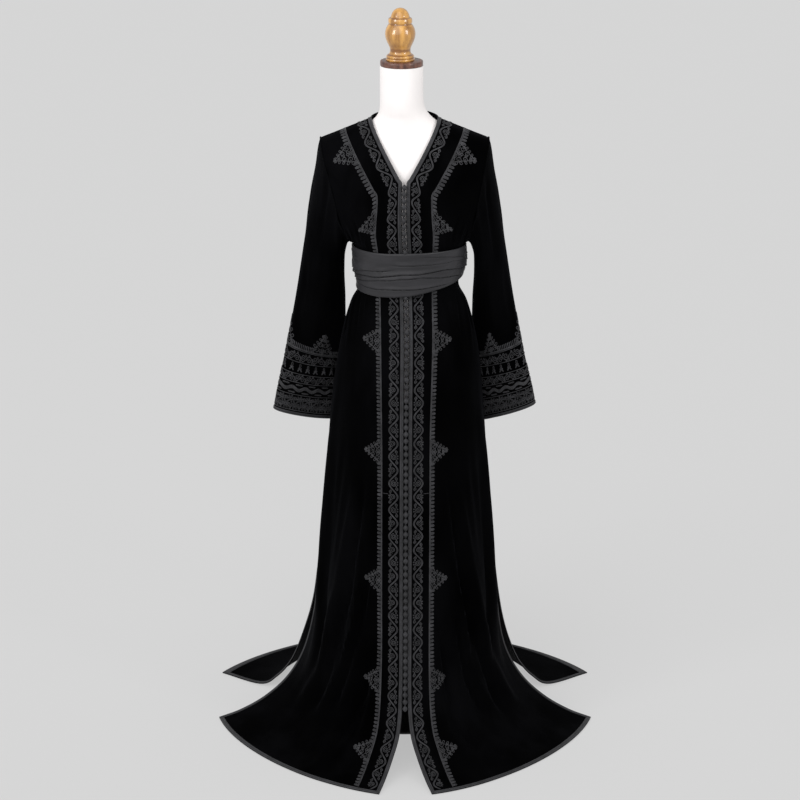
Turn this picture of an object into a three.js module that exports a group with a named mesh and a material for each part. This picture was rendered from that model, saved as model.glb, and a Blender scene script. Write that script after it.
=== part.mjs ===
// A long velvet caftan with corded bands, a knot-button front and a pleated sash, worn by a limbless
// dress form on a pole and a round base.
//
// Millimetres, +Z up, the front faces -Y, and the origin is the middle of the base's underside.
//
// The cloth is worked out from sections. A row of BODICE or SKIRT is one section round the garment, from
// the shoulder seam down to the hem: it gives the front's centre edge, the back's centre and the side
// edges. An arc joins each centre to its side edge, and a smooth curve joins each row to the next. Every
// wall is that surface thickened inwards, and every trim is made from the wall's own points moved out.
import * as THREE from "three";

// ---------------------------------------------------------------- driving dimensions
const CLOTH = 2; // lined velvet wall
const SEAM = 0.5; // gap between two pieces that are sewn edge to edge
const LIFT = 0.75; // gap under a trim that lies on the velvet
const CORDING = 1.4; // thickness of a corded band
const BRAID = { wide: 9, thick: 1.8 }; // silk braid bound round every free edge

const NECK = { half: 75, high: 1454, drop: 128, reach: 115, point: 5.2 }; // one half of the V neck
const BACK_NECK = { reach: 50, high: 1466, share: 0.39 }; // share of the back's half width that is neck
const ARMHOLE = { wide: 164.5, high: 1286, lean: 26.5, tall: 121, front: 78, back: 72 };
const SLIT_TOP = 350; // height where the side seam ends

// Lines down each front, as distances from its centre edge.
const LINES = { braid: BRAID.wide, bandFrom: 12, bandTo: 35, combFrom: 50.5, combTo: 59.5, tip: 97 };
// How much farther out the lines past the scroll band lie, by height on the centre edge.
const LINE_SPREAD = [
  { high: 1230, share: 1.24 },
  { high: 1150, share: 1.14 },
  { high: 1000, share: 1.07 },
  { high: 700, share: 0.98 },
  { high: 300, share: 0.98 },
  { high: 60, share: 1.05 },
];
const TIP_SHARE = 0.74; // the tip line goes no farther across a section than this
const TEETH = 3; // how far the comb's teeth stand out past the comb line
const MOTIF = { half: 23, heights: [1375, 1230, 961, 712, 417, 194, 55] }; // pointed motifs on the comb
const CUFF = { from: 11, middle: 88, to: 168, peak: 230, sides: 20, peaks: [0, 5, 10, 15], valley: 0.3 };

const BUTTON = { r: 4.4, neck: 2.3, pitch: 15.6, sides: 5 }; // knotted silk buttons on a cord
const BUTTON_RUNS = [
  { name: "buttons_bodice", from: 1318, to: 1168 },
  { name: "buttons_skirt", from: 1057, to: 140 },
];
const SASH = { sides: 32, thick: 2.4, pleat: 1.6, pleats: 5 };
// How far the sash's top and bottom lie up on +X, and on both sides, in rows.
const SASH_HANG = { tilt: [0.05, 0.33], rise: [0.03, 0.1] };
const SASH_CLEAR = [9, 11, 10]; // from the body to the sash's outside: top, middle and bottom

const POLE = { r: 12.5, flange: 32, flangeThick: 12 };
const BASE = { r: 190, thick: 9, hub: 24, hubHigh: 52 };
const FIT = 0.3; // gap between the form's own parts

// Bodice sections from the shoulder seam down. vee runs 0 to 1 down the V neck, or else the centre edge is
// at frontHigh and frontReach. arm is the angle round the armhole, 0 at the shoulder tip and 180 underneath.
const BODICE = [
  { vee: 0.0, arm: 0, bow: 0.0, backHigh: 1466, backReach: 50 },
  { vee: 0.06, arm: 15, bow: 0.2, backHigh: 1448, backReach: 58 },
  { vee: 0.16, arm: 32, bow: 0.35, backHigh: 1424, backReach: 68 },
  { vee: 0.32, arm: 52, bow: 0.5, backHigh: 1390, backReach: 80 },
  { vee: 0.54, arm: 75, bow: 0.65, backHigh: 1346, backReach: 89 },
  { vee: 0.78, arm: 98, bow: 0.75, backHigh: 1302, backReach: 93 },
  { vee: 0.92, arm: 115, bow: 0.8, backHigh: 1276, backReach: 93 },
  { vee: 1.0, arm: 130, bow: 0.85, backHigh: 1252, backReach: 92 },
  { frontHigh: 1278, frontReach: 120, arm: 154, bow: 0.93, backHigh: 1216, backReach: 88 },
  { frontHigh: 1222, frontReach: 119, arm: 180, bow: 1.0, backHigh: 1182, backReach: 84 },
];

// Skirt sections from above the sash down to the hem. The front's centre edge and the back's centre, and
// the side edge of each. The two side edges are one seam down to SLIT_TOP, and then they part.
const SKIRT_COLUMNS = [
  ...["frontHigh", "frontReach", "gap", "frontBow", "backHigh", "backReach", "backBow"],
  ...["frontWide", "frontSide", "frontLow", "backWide", "backSide", "backLow"],
];
const SKIRT_ROWS = [
  [1165, 112, 5.2, 1.0, 1158, 82, 1.0, 125, 0, 1159, 125, 0, 1159],
  [1110, 105, 5.2, 1.0, 1111, 81, 1.0, 122, 0, 1114, 122, 0, 1114],
  [1062, 103, 5.2, 1.0, 1064, 84, 1.0, 114, 0, 1068, 114, 0, 1068],
  [1022, 118, 5.2, 1.0, 1022, 100, 1.0, 135, 0, 1022, 135, 0, 1022],
  [950, 140, 5.2, 1.0, 950, 122, 1.0, 154, 0, 955, 154, 0, 955],
  [860, 162, 5.2, 1.0, 860, 136, 1.0, 169, 0, 868, 169, 0, 868],
  [740, 184, 5.2, 1.0, 740, 146, 1.0, 181, 0, 750, 181, 0, 750],
  [600, 208, 5.2, 1.0, 600, 164, 1.0, 191, 0, 612, 191, 0, 612],
  [460, 234, 5.2, 1.0, 460, 190, 1.0, 203, 0, 474, 203, 0, 474],
  [332, 264, 5.2, 0.98, 332, 222, 0.98, 214, 0, SLIT_TOP, 214, 0, SLIT_TOP],
  [232, 296, 5.2, 0.9, 232, 254, 0.9, 222, -12, 248, 229, 14, 248],
  [150, 334, 6.5, 0.8, 150, 286, 0.75, 243, -32, 160, 253, 32, 156],
  [90, 372, 13, 0.7, 90, 318, 0.6, 282, -56, 96, 281, 50, 84],
  [46, 408, 29, 0.62, 46, 346, 0.48, 336, -84, 54, 318, 72, 31],
  [16, 450, 46, 0.57, 16, 374, 0.38, 396, -96, 22, 362, 84, 5],
  [2.6, 490, 60, 0.56, 2.6, 402, 0.34, 450, -101, 2.6, 460, 152, 2.6],
];

// How far the garment hangs to one side of the form, by height: its closing, its sides, and its widest
// places, which the sleeves don't share. Each value holds from one distance from the middle to the next.
const SWAY = [
  { high: 1400, closing: 0, side: 0, wide: 0 },
  { high: 1250, closing: -2, side: 4, wide: 0 },
  { high: 1130, closing: 1.5, side: 11, wide: 0 },
  { high: 960, closing: 4.5, side: 10, wide: 0 },
  { high: 740, closing: 3, side: 7, wide: 5 },
  { high: 300, closing: 2, side: 6, wide: 5 },
  { high: 150, closing: 1, side: 3, wide: 1.5 },
  { high: 0, closing: 1, side: 3, wide: 1.5 },
];
const CUFF_HANG = { slope: 0.12, about: 207, from: 920, to: 760 }; // the right cuff lies up on its outer side
const SWAY_REACH = { closing: 20, side: [110, 165], wide: 215 };

// Long folds of the skirt. across is a share from the tip line to the side edge on the front, and from
// the centre to the side edge on the back. Each stands out below from, and has died away at to.
const FRONT_FOLDS = [
  { across: 0.14, from: 640, to: 10, depth: 9, wide: 0.13 },
  { across: 0.41, from: 760, to: 15, depth: 12, wide: 0.14 },
  { across: 0.7, from: 900, to: 25, depth: 11, wide: 0.15 },
];
const BACK_FOLDS = [
  { across: 0.0, from: 900, to: 10, depth: 14, wide: 0.12 },
  { across: 0.26, from: 700, to: 15, depth: 12, wide: 0.12 },
  { across: 0.5, from: 820, to: 10, depth: 14, wide: 0.11 },
  { across: 0.72, from: 960, to: 20, depth: 12, wide: 0.1 },
];
const FRONT_SHARES = [0.14, 0.27, 0.41, 0.55, 0.7, 0.86];
const BACK_SHARES = [0.13, 0.26, BACK_NECK.share, 0.5, 0.61, 0.72, 0.84];
const LONGEST_STEP = 92; // longest stretch of cloth between two rows of a panel

// Sleeve sections from the armhole to the cuff: the outer line, the inner line and half the depth.
const SLEEVE_COLUMNS = ["outWide", "outSide", "outHigh", "inWide", "inSide", "inHigh", "deep"];
const SLEEVE_ROWS = [
  [197, 0, 1386, 143, 2, 1156, 70],
  [203, 1, 1345, 149, 6, 1128, 60],
  [214, 4, 1272, 150, 14, 1084, 53],
  [233, 10, 1155, 148, 30, 1020, 51],
  [253, 17, 1032, 148, 52, 945, 50],
  [278, 30, 903, 158, 86, 856, 46],
  [299, 40, 806, 159, 94, 768, 39],
  [311, 49, 742, 161, 101, 702, 33],
];
const SLEEVE_STEP = 84;

// The dress form from the neck down: its middle, half width, and reach to the front and to the back.
const FORM_COLUMNS = ["high", "side", "wide", "front", "back"];
const FORM_ROWS = [
  [1571, -7, 49, 48, 48],
  [1530, -7, 49, 48, 47],
  [1494, -6.5, 49.5, 48, 45],
  [1474, -5, 52, 47, 41],
  [1456, -2, 62, 45, 37],
  [1443, -1, 79, 45, 37],
  [1430, 0, 107, 50, 44],
  [1415, 0, 138, 61, 57],
  [1398, 0, 157, 71, 64],
  [1374, 0, 167, 82, 71],
  [1344, 0, 165, 94, 77],
  [1306, 1, 155, 103, 81],
  [1262, 2, 144, 109, 82],
  [1216, 4, 132, 107, 79],
  [1165, 6, 115, 98, 74],
  [1110, 7, 103, 91, 70],
  [1068, 7, 98, 87, 71],
  [1010, 6, 115, 91, 80],
  [940, 5, 133, 99, 93],
  [870, 3, 143, 106, 101],
  [806, 2, 143, 107, 101],
];
const FORM_SIDES = 18;

// The disc on the neck and the turned finial, as radius and height.
const NECK_TOP = 1571;
const NECK_CAP = [
  [0, 0],
  [46.5, 0],
  [48.2, 2],
  [48.2, 9.5],
  [46.5, 11.5],
  [0, 11.5],
];
const FINIAL = [
  [0, 0],
  [32, 0],
  [32.5, 3.5],
  [30.5, 6],
  [31.5, 9],
  [29, 13],
  [24, 16],
  [23, 23],
  [25, 31],
  [31, 44],
  [34.4, 59],
  [32, 72],
  [26, 82],
  [26.8, 87],
  [26.5, 94],
  [21, 97.5],
  [18, 107],
  [10, 115],
  [0, 117.5],
];
const FINIAL_SIDE = -10;

// ---------------------------------------------------------------- finishes
const finish = (color, roughness, metalness = 0) =>
  new THREE.MeshStandardMaterial({ color, roughness, metalness });
const FINISH = {
  velvet: finish(0x0a0a0c, 0.95),
  cord: finish(0x3d3d41, 0.6),
  braid: finish(0x2c2c30, 0.5),
  satin: finish(0x45444b, 0.45),
  jersey: finish(0xf2ecea, 0.9),
  turnedWood: finish(0xb5813c, 0.3),
  darkWood: finish(0x7a4a35, 0.5),
  steel: finish(0x2a2a2c, 0.35, 1),
};

// ---------------------------------------------------------------- curves
const { lerp, degToRad, smoothstep } = THREE.MathUtils;
const point = (x, y, z) => new THREE.Vector3(x, y, z);
const steps = (from, to, count) => Array.from({ length: count + 1 }, (_, i) => lerp(from, to, i / count));
const named = (columns, rows) => rows.map((row) => Object.fromEntries(columns.map((c, i) => [c, row[i]])));

const SKIRT = named(SKIRT_COLUMNS, SKIRT_ROWS);
const SLEEVE = named(SLEEVE_COLUMNS, SLEEVE_ROWS);
const FORM = named(FORM_COLUMNS, FORM_ROWS);
const ROWS = [...BODICE, ...SKIRT];
const LAST = ROWS.length - 1;
const SLIT_ROW = ROWS.findIndex((row) => row.frontLow === SLIT_TOP);
const VEE_ROW = BODICE.findIndex((row) => row.vee === 1);
const SEAM_ROW = BODICE.length - 1; // the side seam begins under the arm
const SASH_ROWS = [SEAM_ROW + 1, SEAM_ROW + 3]; // the sash runs from one of these rows to the other

/** The slope where two steps meet, held back so that the curve never overshoots. */
function slope(before, after) {
  if (before * after <= 0) return 0;
  const even = Math.abs(before + after) / 2;
  return Math.sign(after) * Math.min(even, 2 * Math.abs(before), 2 * Math.abs(after));
}

/** A smooth curve from b to c, with a before and d after, at share f. */
function between4(a, b, c, d, f) {
  const [m, n] = [slope(b - a, c - b), slope(c - b, d - c)];
  const [f2, f3] = [f * f, f * f * f];
  return b + (c - b) * (3 * f2 - 2 * f3) + m * (f3 - 2 * f2 + f) + n * (f3 - f2);
}

/** A smooth curve through points, given as a function of the row, at place t. */
function through(pointAt, last, t) {
  const i = Math.min(Math.floor(t), last - 1);
  const [b, c] = [pointAt(i), pointAt(i + 1)];
  const a = i > 0 ? pointAt(i - 1) : b.clone().multiplyScalar(2).sub(c);
  const d = i + 2 <= last ? pointAt(i + 2) : c.clone().multiplyScalar(2).sub(b);
  const axis = (name) => between4(a[name], b[name], c[name], d[name], t - i);
  return point(axis("x"), axis("y"), axis("z"));
}

/** An arc from start to end. bow 1 is a quarter of an ellipse. level keeps it square to the start. */
function arc(start, end, bow, u, level = false) {
  const middle = start.clone().add(end).multiplyScalar(0.5);
  const pull = middle.clone().lerp(point(end.x, start.y, middle.z), bow);
  if (level) pull.setY(start.y);
  const [a, b, c] = [(1 - u) ** 2, 2 * Math.SQRT1_2 * u * (1 - u), u * u];
  const sum = start.clone().multiplyScalar(a).addScaledVector(pull, b).addScaledVector(end, c);
  return sum.divideScalar(a + b + c);
}

/** The place on a line, going from one place towards another, where it has run a length. */
function walk(line, from, to, length) {
  const tries = 160;
  let [run, before] = [0, line(from)];
  for (let i = 1; i <= tries; i++) {
    const next = line(lerp(from, to, i / tries));
    const step = next.distanceTo(before);
    if (run + step >= length) return lerp(from, to, (i - 1 + (length - run) / step) / tries);
    [run, before] = [run + step, next];
  }
  return to;
}

/** The place on a falling line, between two rows, where it reaches a height. */
function atHeight(line, high) {
  let [above, below] = [0, LAST];
  for (let i = 0; i < 40; i++) {
    const middle = (above + below) / 2;
    if (line(middle).z > high) above = middle;
    else below = middle;
  }
  return above;
}

/** Adds places between rows wherever one of the lines runs longer than a step. */
function fill(rows, lines, longest) {
  const sorted = [...new Set(rows)].sort((a, b) => a - b);
  const filled = [sorted[0]];
  for (const [i, to] of sorted.slice(1).entries()) {
    const from = sorted[i];
    const long = Math.max(...lines.map((line) => lengthOf(line, from, to)));
    filled.push(...steps(from, to, Math.ceil(long / longest)).slice(1));
  }
  return filled;
}

/** The length of a line between two places. */
function lengthOf(line, from, to) {
  const points = steps(from, to, 12).map(line);
  return points.slice(1).reduce((sum, p, i) => sum + p.distanceTo(points[i]), 0);
}

/** A point moved by the garment's sideways hang. A sleeve's outer places stay where they are. */
function sway(p, onSleeve = false) {
  const i = Math.max(1, SWAY.findIndex((row) => row.high <= p.z));
  const [above, below] = [SWAY[i - 1], SWAY[i]];
  const share = smoothstep(p.z, below.high, above.high);
  const hang = (name) => lerp(below[name], above[name], share);
  const far = Math.abs(p.x);
  const near = lerp(hang("closing"), hang("side"), smoothstep(far, SWAY_REACH.closing, SWAY_REACH.side[0]));
  const wide = onSleeve ? 0 : hang("wide");
  const cuff = onSleeve && p.x > 0 ? 1 - smoothstep(p.z, CUFF_HANG.to, CUFF_HANG.from) : 0;
  const up = cuff * CUFF_HANG.slope * (p.x - CUFF_HANG.about);
  return point(p.x + lerp(near, wide, smoothstep(far, SWAY_REACH.side[1], SWAY_REACH.wide)), p.y, p.z + up);
}

// ---------------------------------------------------------------- the garment's surface
/** A point of the V neck's edge, s from the shoulder to the bottom of the V. */
function neckEdge(s) {
  const [x, y] = [lerp(NECK.half, NECK.point, s ** 1.12), NECK.reach * Math.sqrt(s)];
  return point(x, -SEAM / 2 - y, NECK.high - NECK.drop * s);
}

/** A point of the armhole, its angle in degrees from the shoulder tip, on the front or the back. */
function armhole(degrees, front) {
  const a = degToRad(degrees);
  const deep = front ? -ARMHOLE.front * Math.sin(a) - SEAM / 2 : ARMHOLE.back * Math.sin(a) + SEAM / 2;
  return point(ARMHOLE.wide + ARMHOLE.lean * Math.cos(a), deep, ARMHOLE.high + ARMHOLE.tall * Math.cos(a));
}

/** The centre edge of the front on a row. */
function frontCentre(row) {
  if (row.vee !== undefined) return neckEdge(row.vee);
  return point(row.gap ?? NECK.point, -row.frontReach, row.frontHigh);
}

/** The side edge of the front or the back on a row. */
function sideEdge(row, front) {
  if (row.arm !== undefined) return armhole(row.arm, front);
  if (front) return point(row.frontWide, row.frontSide - SEAM / 2, row.frontLow);
  return point(row.backWide, row.backSide + SEAM / 2, row.backLow);
}

/** The back's top edge: round the neck, then along the shoulder seam. */
function backTop(u) {
  const start = point(0, BACK_NECK.reach, BACK_NECK.high);
  const corner = point(NECK.half, SEAM / 2, NECK.high);
  if (u <= BACK_NECK.share) return arc(start, corner, 1, u / BACK_NECK.share);
  return corner.lerp(armhole(0, false), (u - BACK_NECK.share) / (1 - BACK_NECK.share));
}

/** The front on one side: u from the centre edge to the side edge, t by row. */
function frontSurface(side) {
  const onRow = (u) => (k) => {
    const row = ROWS[k];
    return arc(frontCentre(row), sideEdge(row, true), row.bow ?? row.frontBow, u);
  };
  return (u, t) => {
    const p = through(onRow(u), LAST, t);
    return sway(p.setX(p.x * side));
  };
}

/** The back: u from -1 at the left side edge, through the centre, to 1 at the right. */
function backSurface(u, t) {
  const across = Math.abs(u);
  const onRow = (k) => {
    const row = ROWS[k];
    if (k === 0) return backTop(across);
    const centre = point(0, row.backReach, row.backHigh);
    return arc(centre, sideEdge(row, false), row.bow ?? row.backBow, across, true);
  };
  const p = through(onRow, LAST, t);
  return sway(p.setX(p.x * Math.sign(u)));
}

/** A sleeve: angle in degrees from the outer line over the front, t by row from the armhole. */
function sleeveSurface(side) {
  const onRow = (degrees) => (k) => {
    if (k === 0) {
      const front = degrees <= 180;
      const top = armhole(front ? degrees : 360 - degrees, front);
      return top.setX(top.x + 2 * SEAM);
    }
    const row = SLEEVE[k - 1];
    const out = point(row.outWide, row.outSide, row.outHigh);
    const middle = out.clone().add(point(row.inWide, row.inSide, row.inHigh)).multiplyScalar(0.5);
    const a = degToRad(degrees);
    const turned = middle.clone().addScaledVector(out.sub(middle), Math.cos(a));
    return turned.setY(turned.y - row.deep * Math.sin(a));
  };
  return (degrees, t) => {
    const p = through(onRow(degrees), SLEEVE.length, t);
    return sway(p.setX(p.x * side), true);
  };
}

// ---------------------------------------------------------------- panels and solids
/** A grid of points with their outward normals. closed joins the last column to the first. */
function panel(points, closed, away) {
  const [rows, columns] = [points.length, points[0].length];
  const clamp = (i, last) => Math.min(Math.max(i, 0), last - 1);
  const column = (j) => (closed ? (j + columns) % columns : clamp(j, columns));
  const normals = points.map((row, i) =>
    row.map((_, j) => {
      const down = points[clamp(i + 1, rows)][j].clone().sub(points[clamp(i - 1, rows)][j]);
      const across = row[column(j + 1)].clone().sub(row[column(j - 1)]);
      return across.cross(down).normalize();
    }),
  );
  const [i, j] = [rows >> 1, columns >> 1];
  const turn = Math.sign(normals[i][j].dot(points[i][j].clone().sub(away)));
  normals.flat().forEach((n) => n.multiplyScalar(turn));
  return { points, normals, closed, columns };
}

/** A point of a panel, moved out. i and j may fall between the rows and columns. */
function onPanel(cloth, i, j, far) {
  const [row, column] = [Math.floor(i), Math.floor(j)];
  const [next, beside] = [Math.ceil(i), Math.ceil(j) % cloth.columns];
  const mixed = (grid) => {
    const upper = grid[row][column].clone().lerp(grid[row][beside], j - column);
    const lower = grid[next][column].clone().lerp(grid[next][beside], j - column);
    return upper.lerp(lower, i - row);
  };
  return mixed(cloth.points).addScaledVector(mixed(cloth.normals).normalize(), far);
}

/** A geometry whose faces point out, whichever way they were wound. */
function facingOut(corners, faces) {
  let volume = 0;
  for (const [a, b, c] of faces) volume += corners[a].dot(corners[b].clone().cross(corners[c]));
  const index = faces.flatMap(([a, b, c]) => (volume < 0 ? [b, a, c] : [a, b, c]));
  const positions = corners.flatMap((p) => p.toArray());
  const geometry = new THREE.BufferGeometry();
  geometry.setAttribute("position", new THREE.Float32BufferAttribute(positions, 3));
  geometry.setIndex(index);
  geometry.computeVertexNormals();
  return geometry;
}

/** The closed solid between two grids. turned says which rows split their cells the other way. */
function between(outer, inner, closed, turned = () => false) {
  const [rows, columns] = [outer.length, outer[0].length];
  const top = (i, j) => i * columns + (j % columns);
  const bottom = (i, j) => rows * columns + top(i, j);
  const faces = [];
  const quad = (a, b, c, d) => faces.push([a, b, c], [a, c, d]);
  const cell = (at, i, j, other) => {
    const ring = [at(i, j), at(i + 1, j), at(i + 1, j + 1), at(i, j + 1)];
    const round = other ? ring.reverse() : ring;
    if (turned(i) === other) quad(...round);
    else quad(round[1], round[2], round[3], round[0]);
  };
  const across = closed ? columns : columns - 1;
  for (let i = 0; i < rows - 1; i++)
    for (let j = 0; j < across; j++) {
      cell(top, i, j, false);
      cell(bottom, i, j, true);
    }
  for (let j = 0; j < across; j++) {
    quad(top(0, j), top(0, j + 1), bottom(0, j + 1), bottom(0, j));
    quad(top(rows - 1, j + 1), top(rows - 1, j), bottom(rows - 1, j), bottom(rows - 1, j + 1));
  }
  const last = columns - 1;
  for (let i = 0; !closed && i < rows - 1; i++) {
    quad(top(i + 1, 0), top(i, 0), bottom(i, 0), bottom(i + 1, 0));
    quad(top(i, last), top(i + 1, last), bottom(i + 1, last), bottom(i, last));
  }
  return facingOut([...outer.flat(), ...inner.flat()], faces);
}

/** A panel's cloth wall. level turns the normals of the edges that are sewn. */
function wall(cloth, level, turned) {
  const inner = cloth.points.map((row, i) =>
    row.map((p, j) => p.clone().addScaledVector(level(cloth.normals[i][j], i, j), -CLOTH)),
  );
  return between(cloth.points, inner, cloth.closed, turned);
}

/** A flat trim that lies on a panel, from a grid of [i, j] places. */
function trim(cloth, places, thick, closed = false, turned = undefined) {
  const [outer, inner] = [LIFT + thick, LIFT].map((far) =>
    places.map((row) => row.map(([i, j]) => onPanel(cloth, i, j, far))),
  );
  return between(outer, inner, closed, turned);
}

/** A solid swept through rings of equal count, closed at both ends. */
function rings(sections) {
  const sides = sections[0].length;
  const at = (i, j) => i * sides + (j % sides);
  const last = sections.length - 1;
  const faces = [];
  for (let i = 0; i < last; i++)
    for (let j = 0; j < sides; j++) {
      faces.push([at(i, j), at(i + 1, j), at(i + 1, j + 1)]);
      faces.push([at(i, j), at(i + 1, j + 1), at(i, j + 1)]);
    }
  for (let j = 1; j < sides - 1; j++) {
    faces.push([at(0, 0), at(0, j), at(0, j + 1)]);
    faces.push([at(last, 0), at(last, j + 1), at(last, j)]);
  }
  return facingOut(sections.flat(), faces);
}

/** An upright oval of points: a half width, and a reach to the front and to the back. */
function oval(sides, middle, wide, front, back) {
  return Array.from({ length: sides }, (_, j) => {
    const a = (j * 2 * Math.PI) / sides;
    const deep = Math.sin(a) < 0 ? front : back;
    return point(middle.x + wide * Math.cos(a), middle.y + deep * Math.sin(a), middle.z);
  });
}

// ---------------------------------------------------------------- fronts and back
const MIDDLE = point(0, 0, 600);
const SIDE_RUN = 2000; // longer than any section, so that a walk reaches the side edge

/** How far the long folds stand out at a place. */
function foldHeight(folds, across, high) {
  return folds.reduce((sum, fold) => {
    const grown = 1 - smoothstep(high, lerp(fold.from, fold.to, 0.6), fold.from);
    const left = smoothstep(high, fold.to, lerp(fold.to, fold.from, 0.25));
    const off = (across - fold.across) / fold.wide;
    return sum + fold.depth * grown * left * Math.max(0, 1 - off * off);
  }, 0);
}

/** A point moved straight away from the form's middle. */
function spread(p, far) {
  return p.addScaledVector(point(p.x, p.y, 0).normalize(), far);
}

/** How far a line lies from the centre edge at a height. */
function lineFar(far, high) {
  if (far <= LINES.bandTo) return far;
  const i = LINE_SPREAD.findIndex((row) => row.high <= high);
  if (i <= 0) return far * LINE_SPREAD.at(i).share;
  const [above, below] = [LINE_SPREAD[i - 1], LINE_SPREAD[i]];
  return far * lerp(below.share, above.share, smoothstep(high, below.high, above.high));
}

/** The front's lines across one row, as u, with each one's share from the tip line to the side. */
function frontColumns(surface, t) {
  const line = (u) => surface(u, t);
  const from = Object.values(LINES).map((far) => walk(line, 0, 1, lineFar(far, line(0).z)));
  const tip = Math.min(from.pop(), TIP_SHARE);
  const side = walk(line, 1, 0, BRAID.wide);
  const shares = [0, ...FRONT_SHARES];
  const rest = shares.map((share) => ({ u: lerp(tip, side, share), share }));
  const outer = [side, 1].map((u) => ({ u, share: 2 }));
  return [...[0, ...from].map((u) => ({ u, share: -1 })), ...rest, ...outer];
}
const TIP_COLUMN = Object.keys(LINES).length;
const COMB_COLUMN = TIP_COLUMN - 1;

/** The rows of a front, with the rows where a pointed motif stands. */
function frontRows(surface) {
  const combFar = (t) => lineFar(LINES.combTo, surface(0, t).z);
  const combLine = (t) => surface(walk((u) => surface(u, t), 0, 1, combFar(t)), t);
  const sideLine = (t) => surface(1, t);
  const motifs = MOTIF.heights.map((high) => atHeight(combLine, high));
  const feet = motifs.flatMap((t) => [0, LAST].map((to) => walk(combLine, t, to, MOTIF.half)));
  const hem = [LINES.bandFrom, LINES.braid].map((far) => walk(combLine, LAST, 0, far));
  const kept = [0, 1, VEE_ROW, SEAM_ROW, ...SASH_ROWS, SLIT_ROW, LAST - 1, ...hem, LAST];
  const rows = fill([...kept, ...motifs, ...feet], [combLine, sideLine], LONGEST_STEP);
  return { rows, motifs: motifs.map((t) => rows.indexOf(t)), slit: rows.indexOf(SLIT_ROW) };
}

/** Whether an edge is sewn, so that its wall must end square to the seam. */
const sewn = (t, i, onSide) => i === 0 || (onSide && t >= SEAM_ROW && t <= SLIT_ROW);

/** A front panel with its rows and the trims' places on it. */
function frontPanel(side) {
  const surface = frontSurface(side);
  const { rows, motifs, slit } = frontRows(surface);
  const points = rows.map((t) =>
    frontColumns(surface, t).map(({ u, share }) => {
      const p = surface(u, t);
      return spread(p, foldHeight(FRONT_FOLDS, share, p.z));
    }),
  );
  return { ...panel(points, false, MIDDLE), rows, motifs, slit };
}

/** The back panel: its columns mirror about the centre. */
function backPanel() {
  const neckLow = walk((t) => backSurface(0, t), 0, LAST, BRAID.wide);
  const hem = walk((t) => backSurface(0.5, t), LAST, 0, BRAID.wide);
  const kept = [0, neckLow, 1, 2, SEAM_ROW, SLIT_ROW, LAST - 2, LAST - 1, hem, LAST];
  const lines = [0.3, 1].map((u) => (t) => backSurface(u, t));
  const rows = fill(kept, lines, LONGEST_STEP);
  const points = rows.map((t) => {
    const side = walk((u) => backSurface(u, t), 1, 0, BRAID.wide);
    const half = [...BACK_SHARES, side, 1];
    const columns = [...half.map((u) => -u).reverse(), 0, ...half];
    return columns.map((u) => {
      const p = backSurface(u || 1e-9, t);
      return spread(p, Math.abs(u) >= side ? 0 : foldHeight(BACK_FOLDS, Math.abs(u), p.z));
    });
  });
  return { ...panel(points, false, MIDDLE), rows, slit: rows.indexOf(SLIT_ROW) };
}

/** Levels the normals on the shoulder seam and the side seam. */
function levelled(cloth) {
  const last = cloth.columns - 1;
  return (n, i, j) => {
    const onSide = j === last || (j === 0 && cloth.motifs === undefined);
    return sewn(cloth.rows[i], i, onSide) ? n.clone().setY(0).normalize() : n;
  };
}

/** Places for the braid down a front's neck and centre edge, along its hem and up its slit. */
function frontEdge(cloth) {
  const [low, wide] = [cloth.rows.length - 1, cloth.columns - 1];
  const centre = steps(0, low - 2, low - 2).map((i) => [[i, 0], [i, 1]]);
  const hem = steps(2, wide - 2, wide - 4).map((j) => [[low, j], [low - 1, j]]);
  const slit = steps(low - 2, cloth.slit, low - 2 - cloth.slit).map((i) => [[i, wide], [i, wide - 1]]);
  const corners = [[[low, 0], [low - 1, 1]], [[low, wide], [low - 1, wide - 1]]];
  return [...centre, corners[0], ...hem, corners[1], ...slit];
}

/** Places for the braid down the back's left slit, along its hem and up its right slit. */
function backEdge(cloth) {
  const [low, wide] = [cloth.rows.length - 1, cloth.columns - 1];
  const rows = steps(cloth.slit, low - 2, low - 2 - cloth.slit);
  const left = rows.map((i) => [[i, 0], [i, 1]]);
  const hem = steps(2, wide - 2, wide - 4).map((j) => [[low, j], [low - 1, j]]);
  const right = rows.map((i) => [[i, wide], [i, wide - 1]]).reverse();
  const corners = [[[low, 0], [low - 1, 1]], [[low, wide], [low - 1, wide - 1]]];
  return [...left, corners[0], ...hem, corners[1], ...right];
}

/** Places for the braid round the back of the neck. */
function backNeckEdge(cloth) {
  const centre = (cloth.columns - 1) / 2;
  const reach = BACK_SHARES.indexOf(BACK_NECK.share) + 1;
  return steps(centre - reach, centre + reach, 2 * reach).map((j) => [[0, j], [1, j]]);
}

/** Places for a band between two lines of a front, clear of the braid on its hem. */
function bandPlaces(cloth, from, to) {
  const low = cloth.rows.length - 3;
  return steps(0, low, low).map((i) => [[i, from], [i, to]]);
}

/** The same for the comb band, reaching out to the tip line at each pointed motif. */
function combPlaces(cloth) {
  return bandPlaces(cloth, COMB_COLUMN - 1, COMB_COLUMN).map(([inner, outer]) => {
    const teeth = TEETH / (LINES.tip - LINES.combTo);
    const far = cloth.motifs.includes(inner[0]) ? TIP_COLUMN : COMB_COLUMN + teeth;
    return [inner, outer, [inner[0], far]];
  });
}

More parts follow.
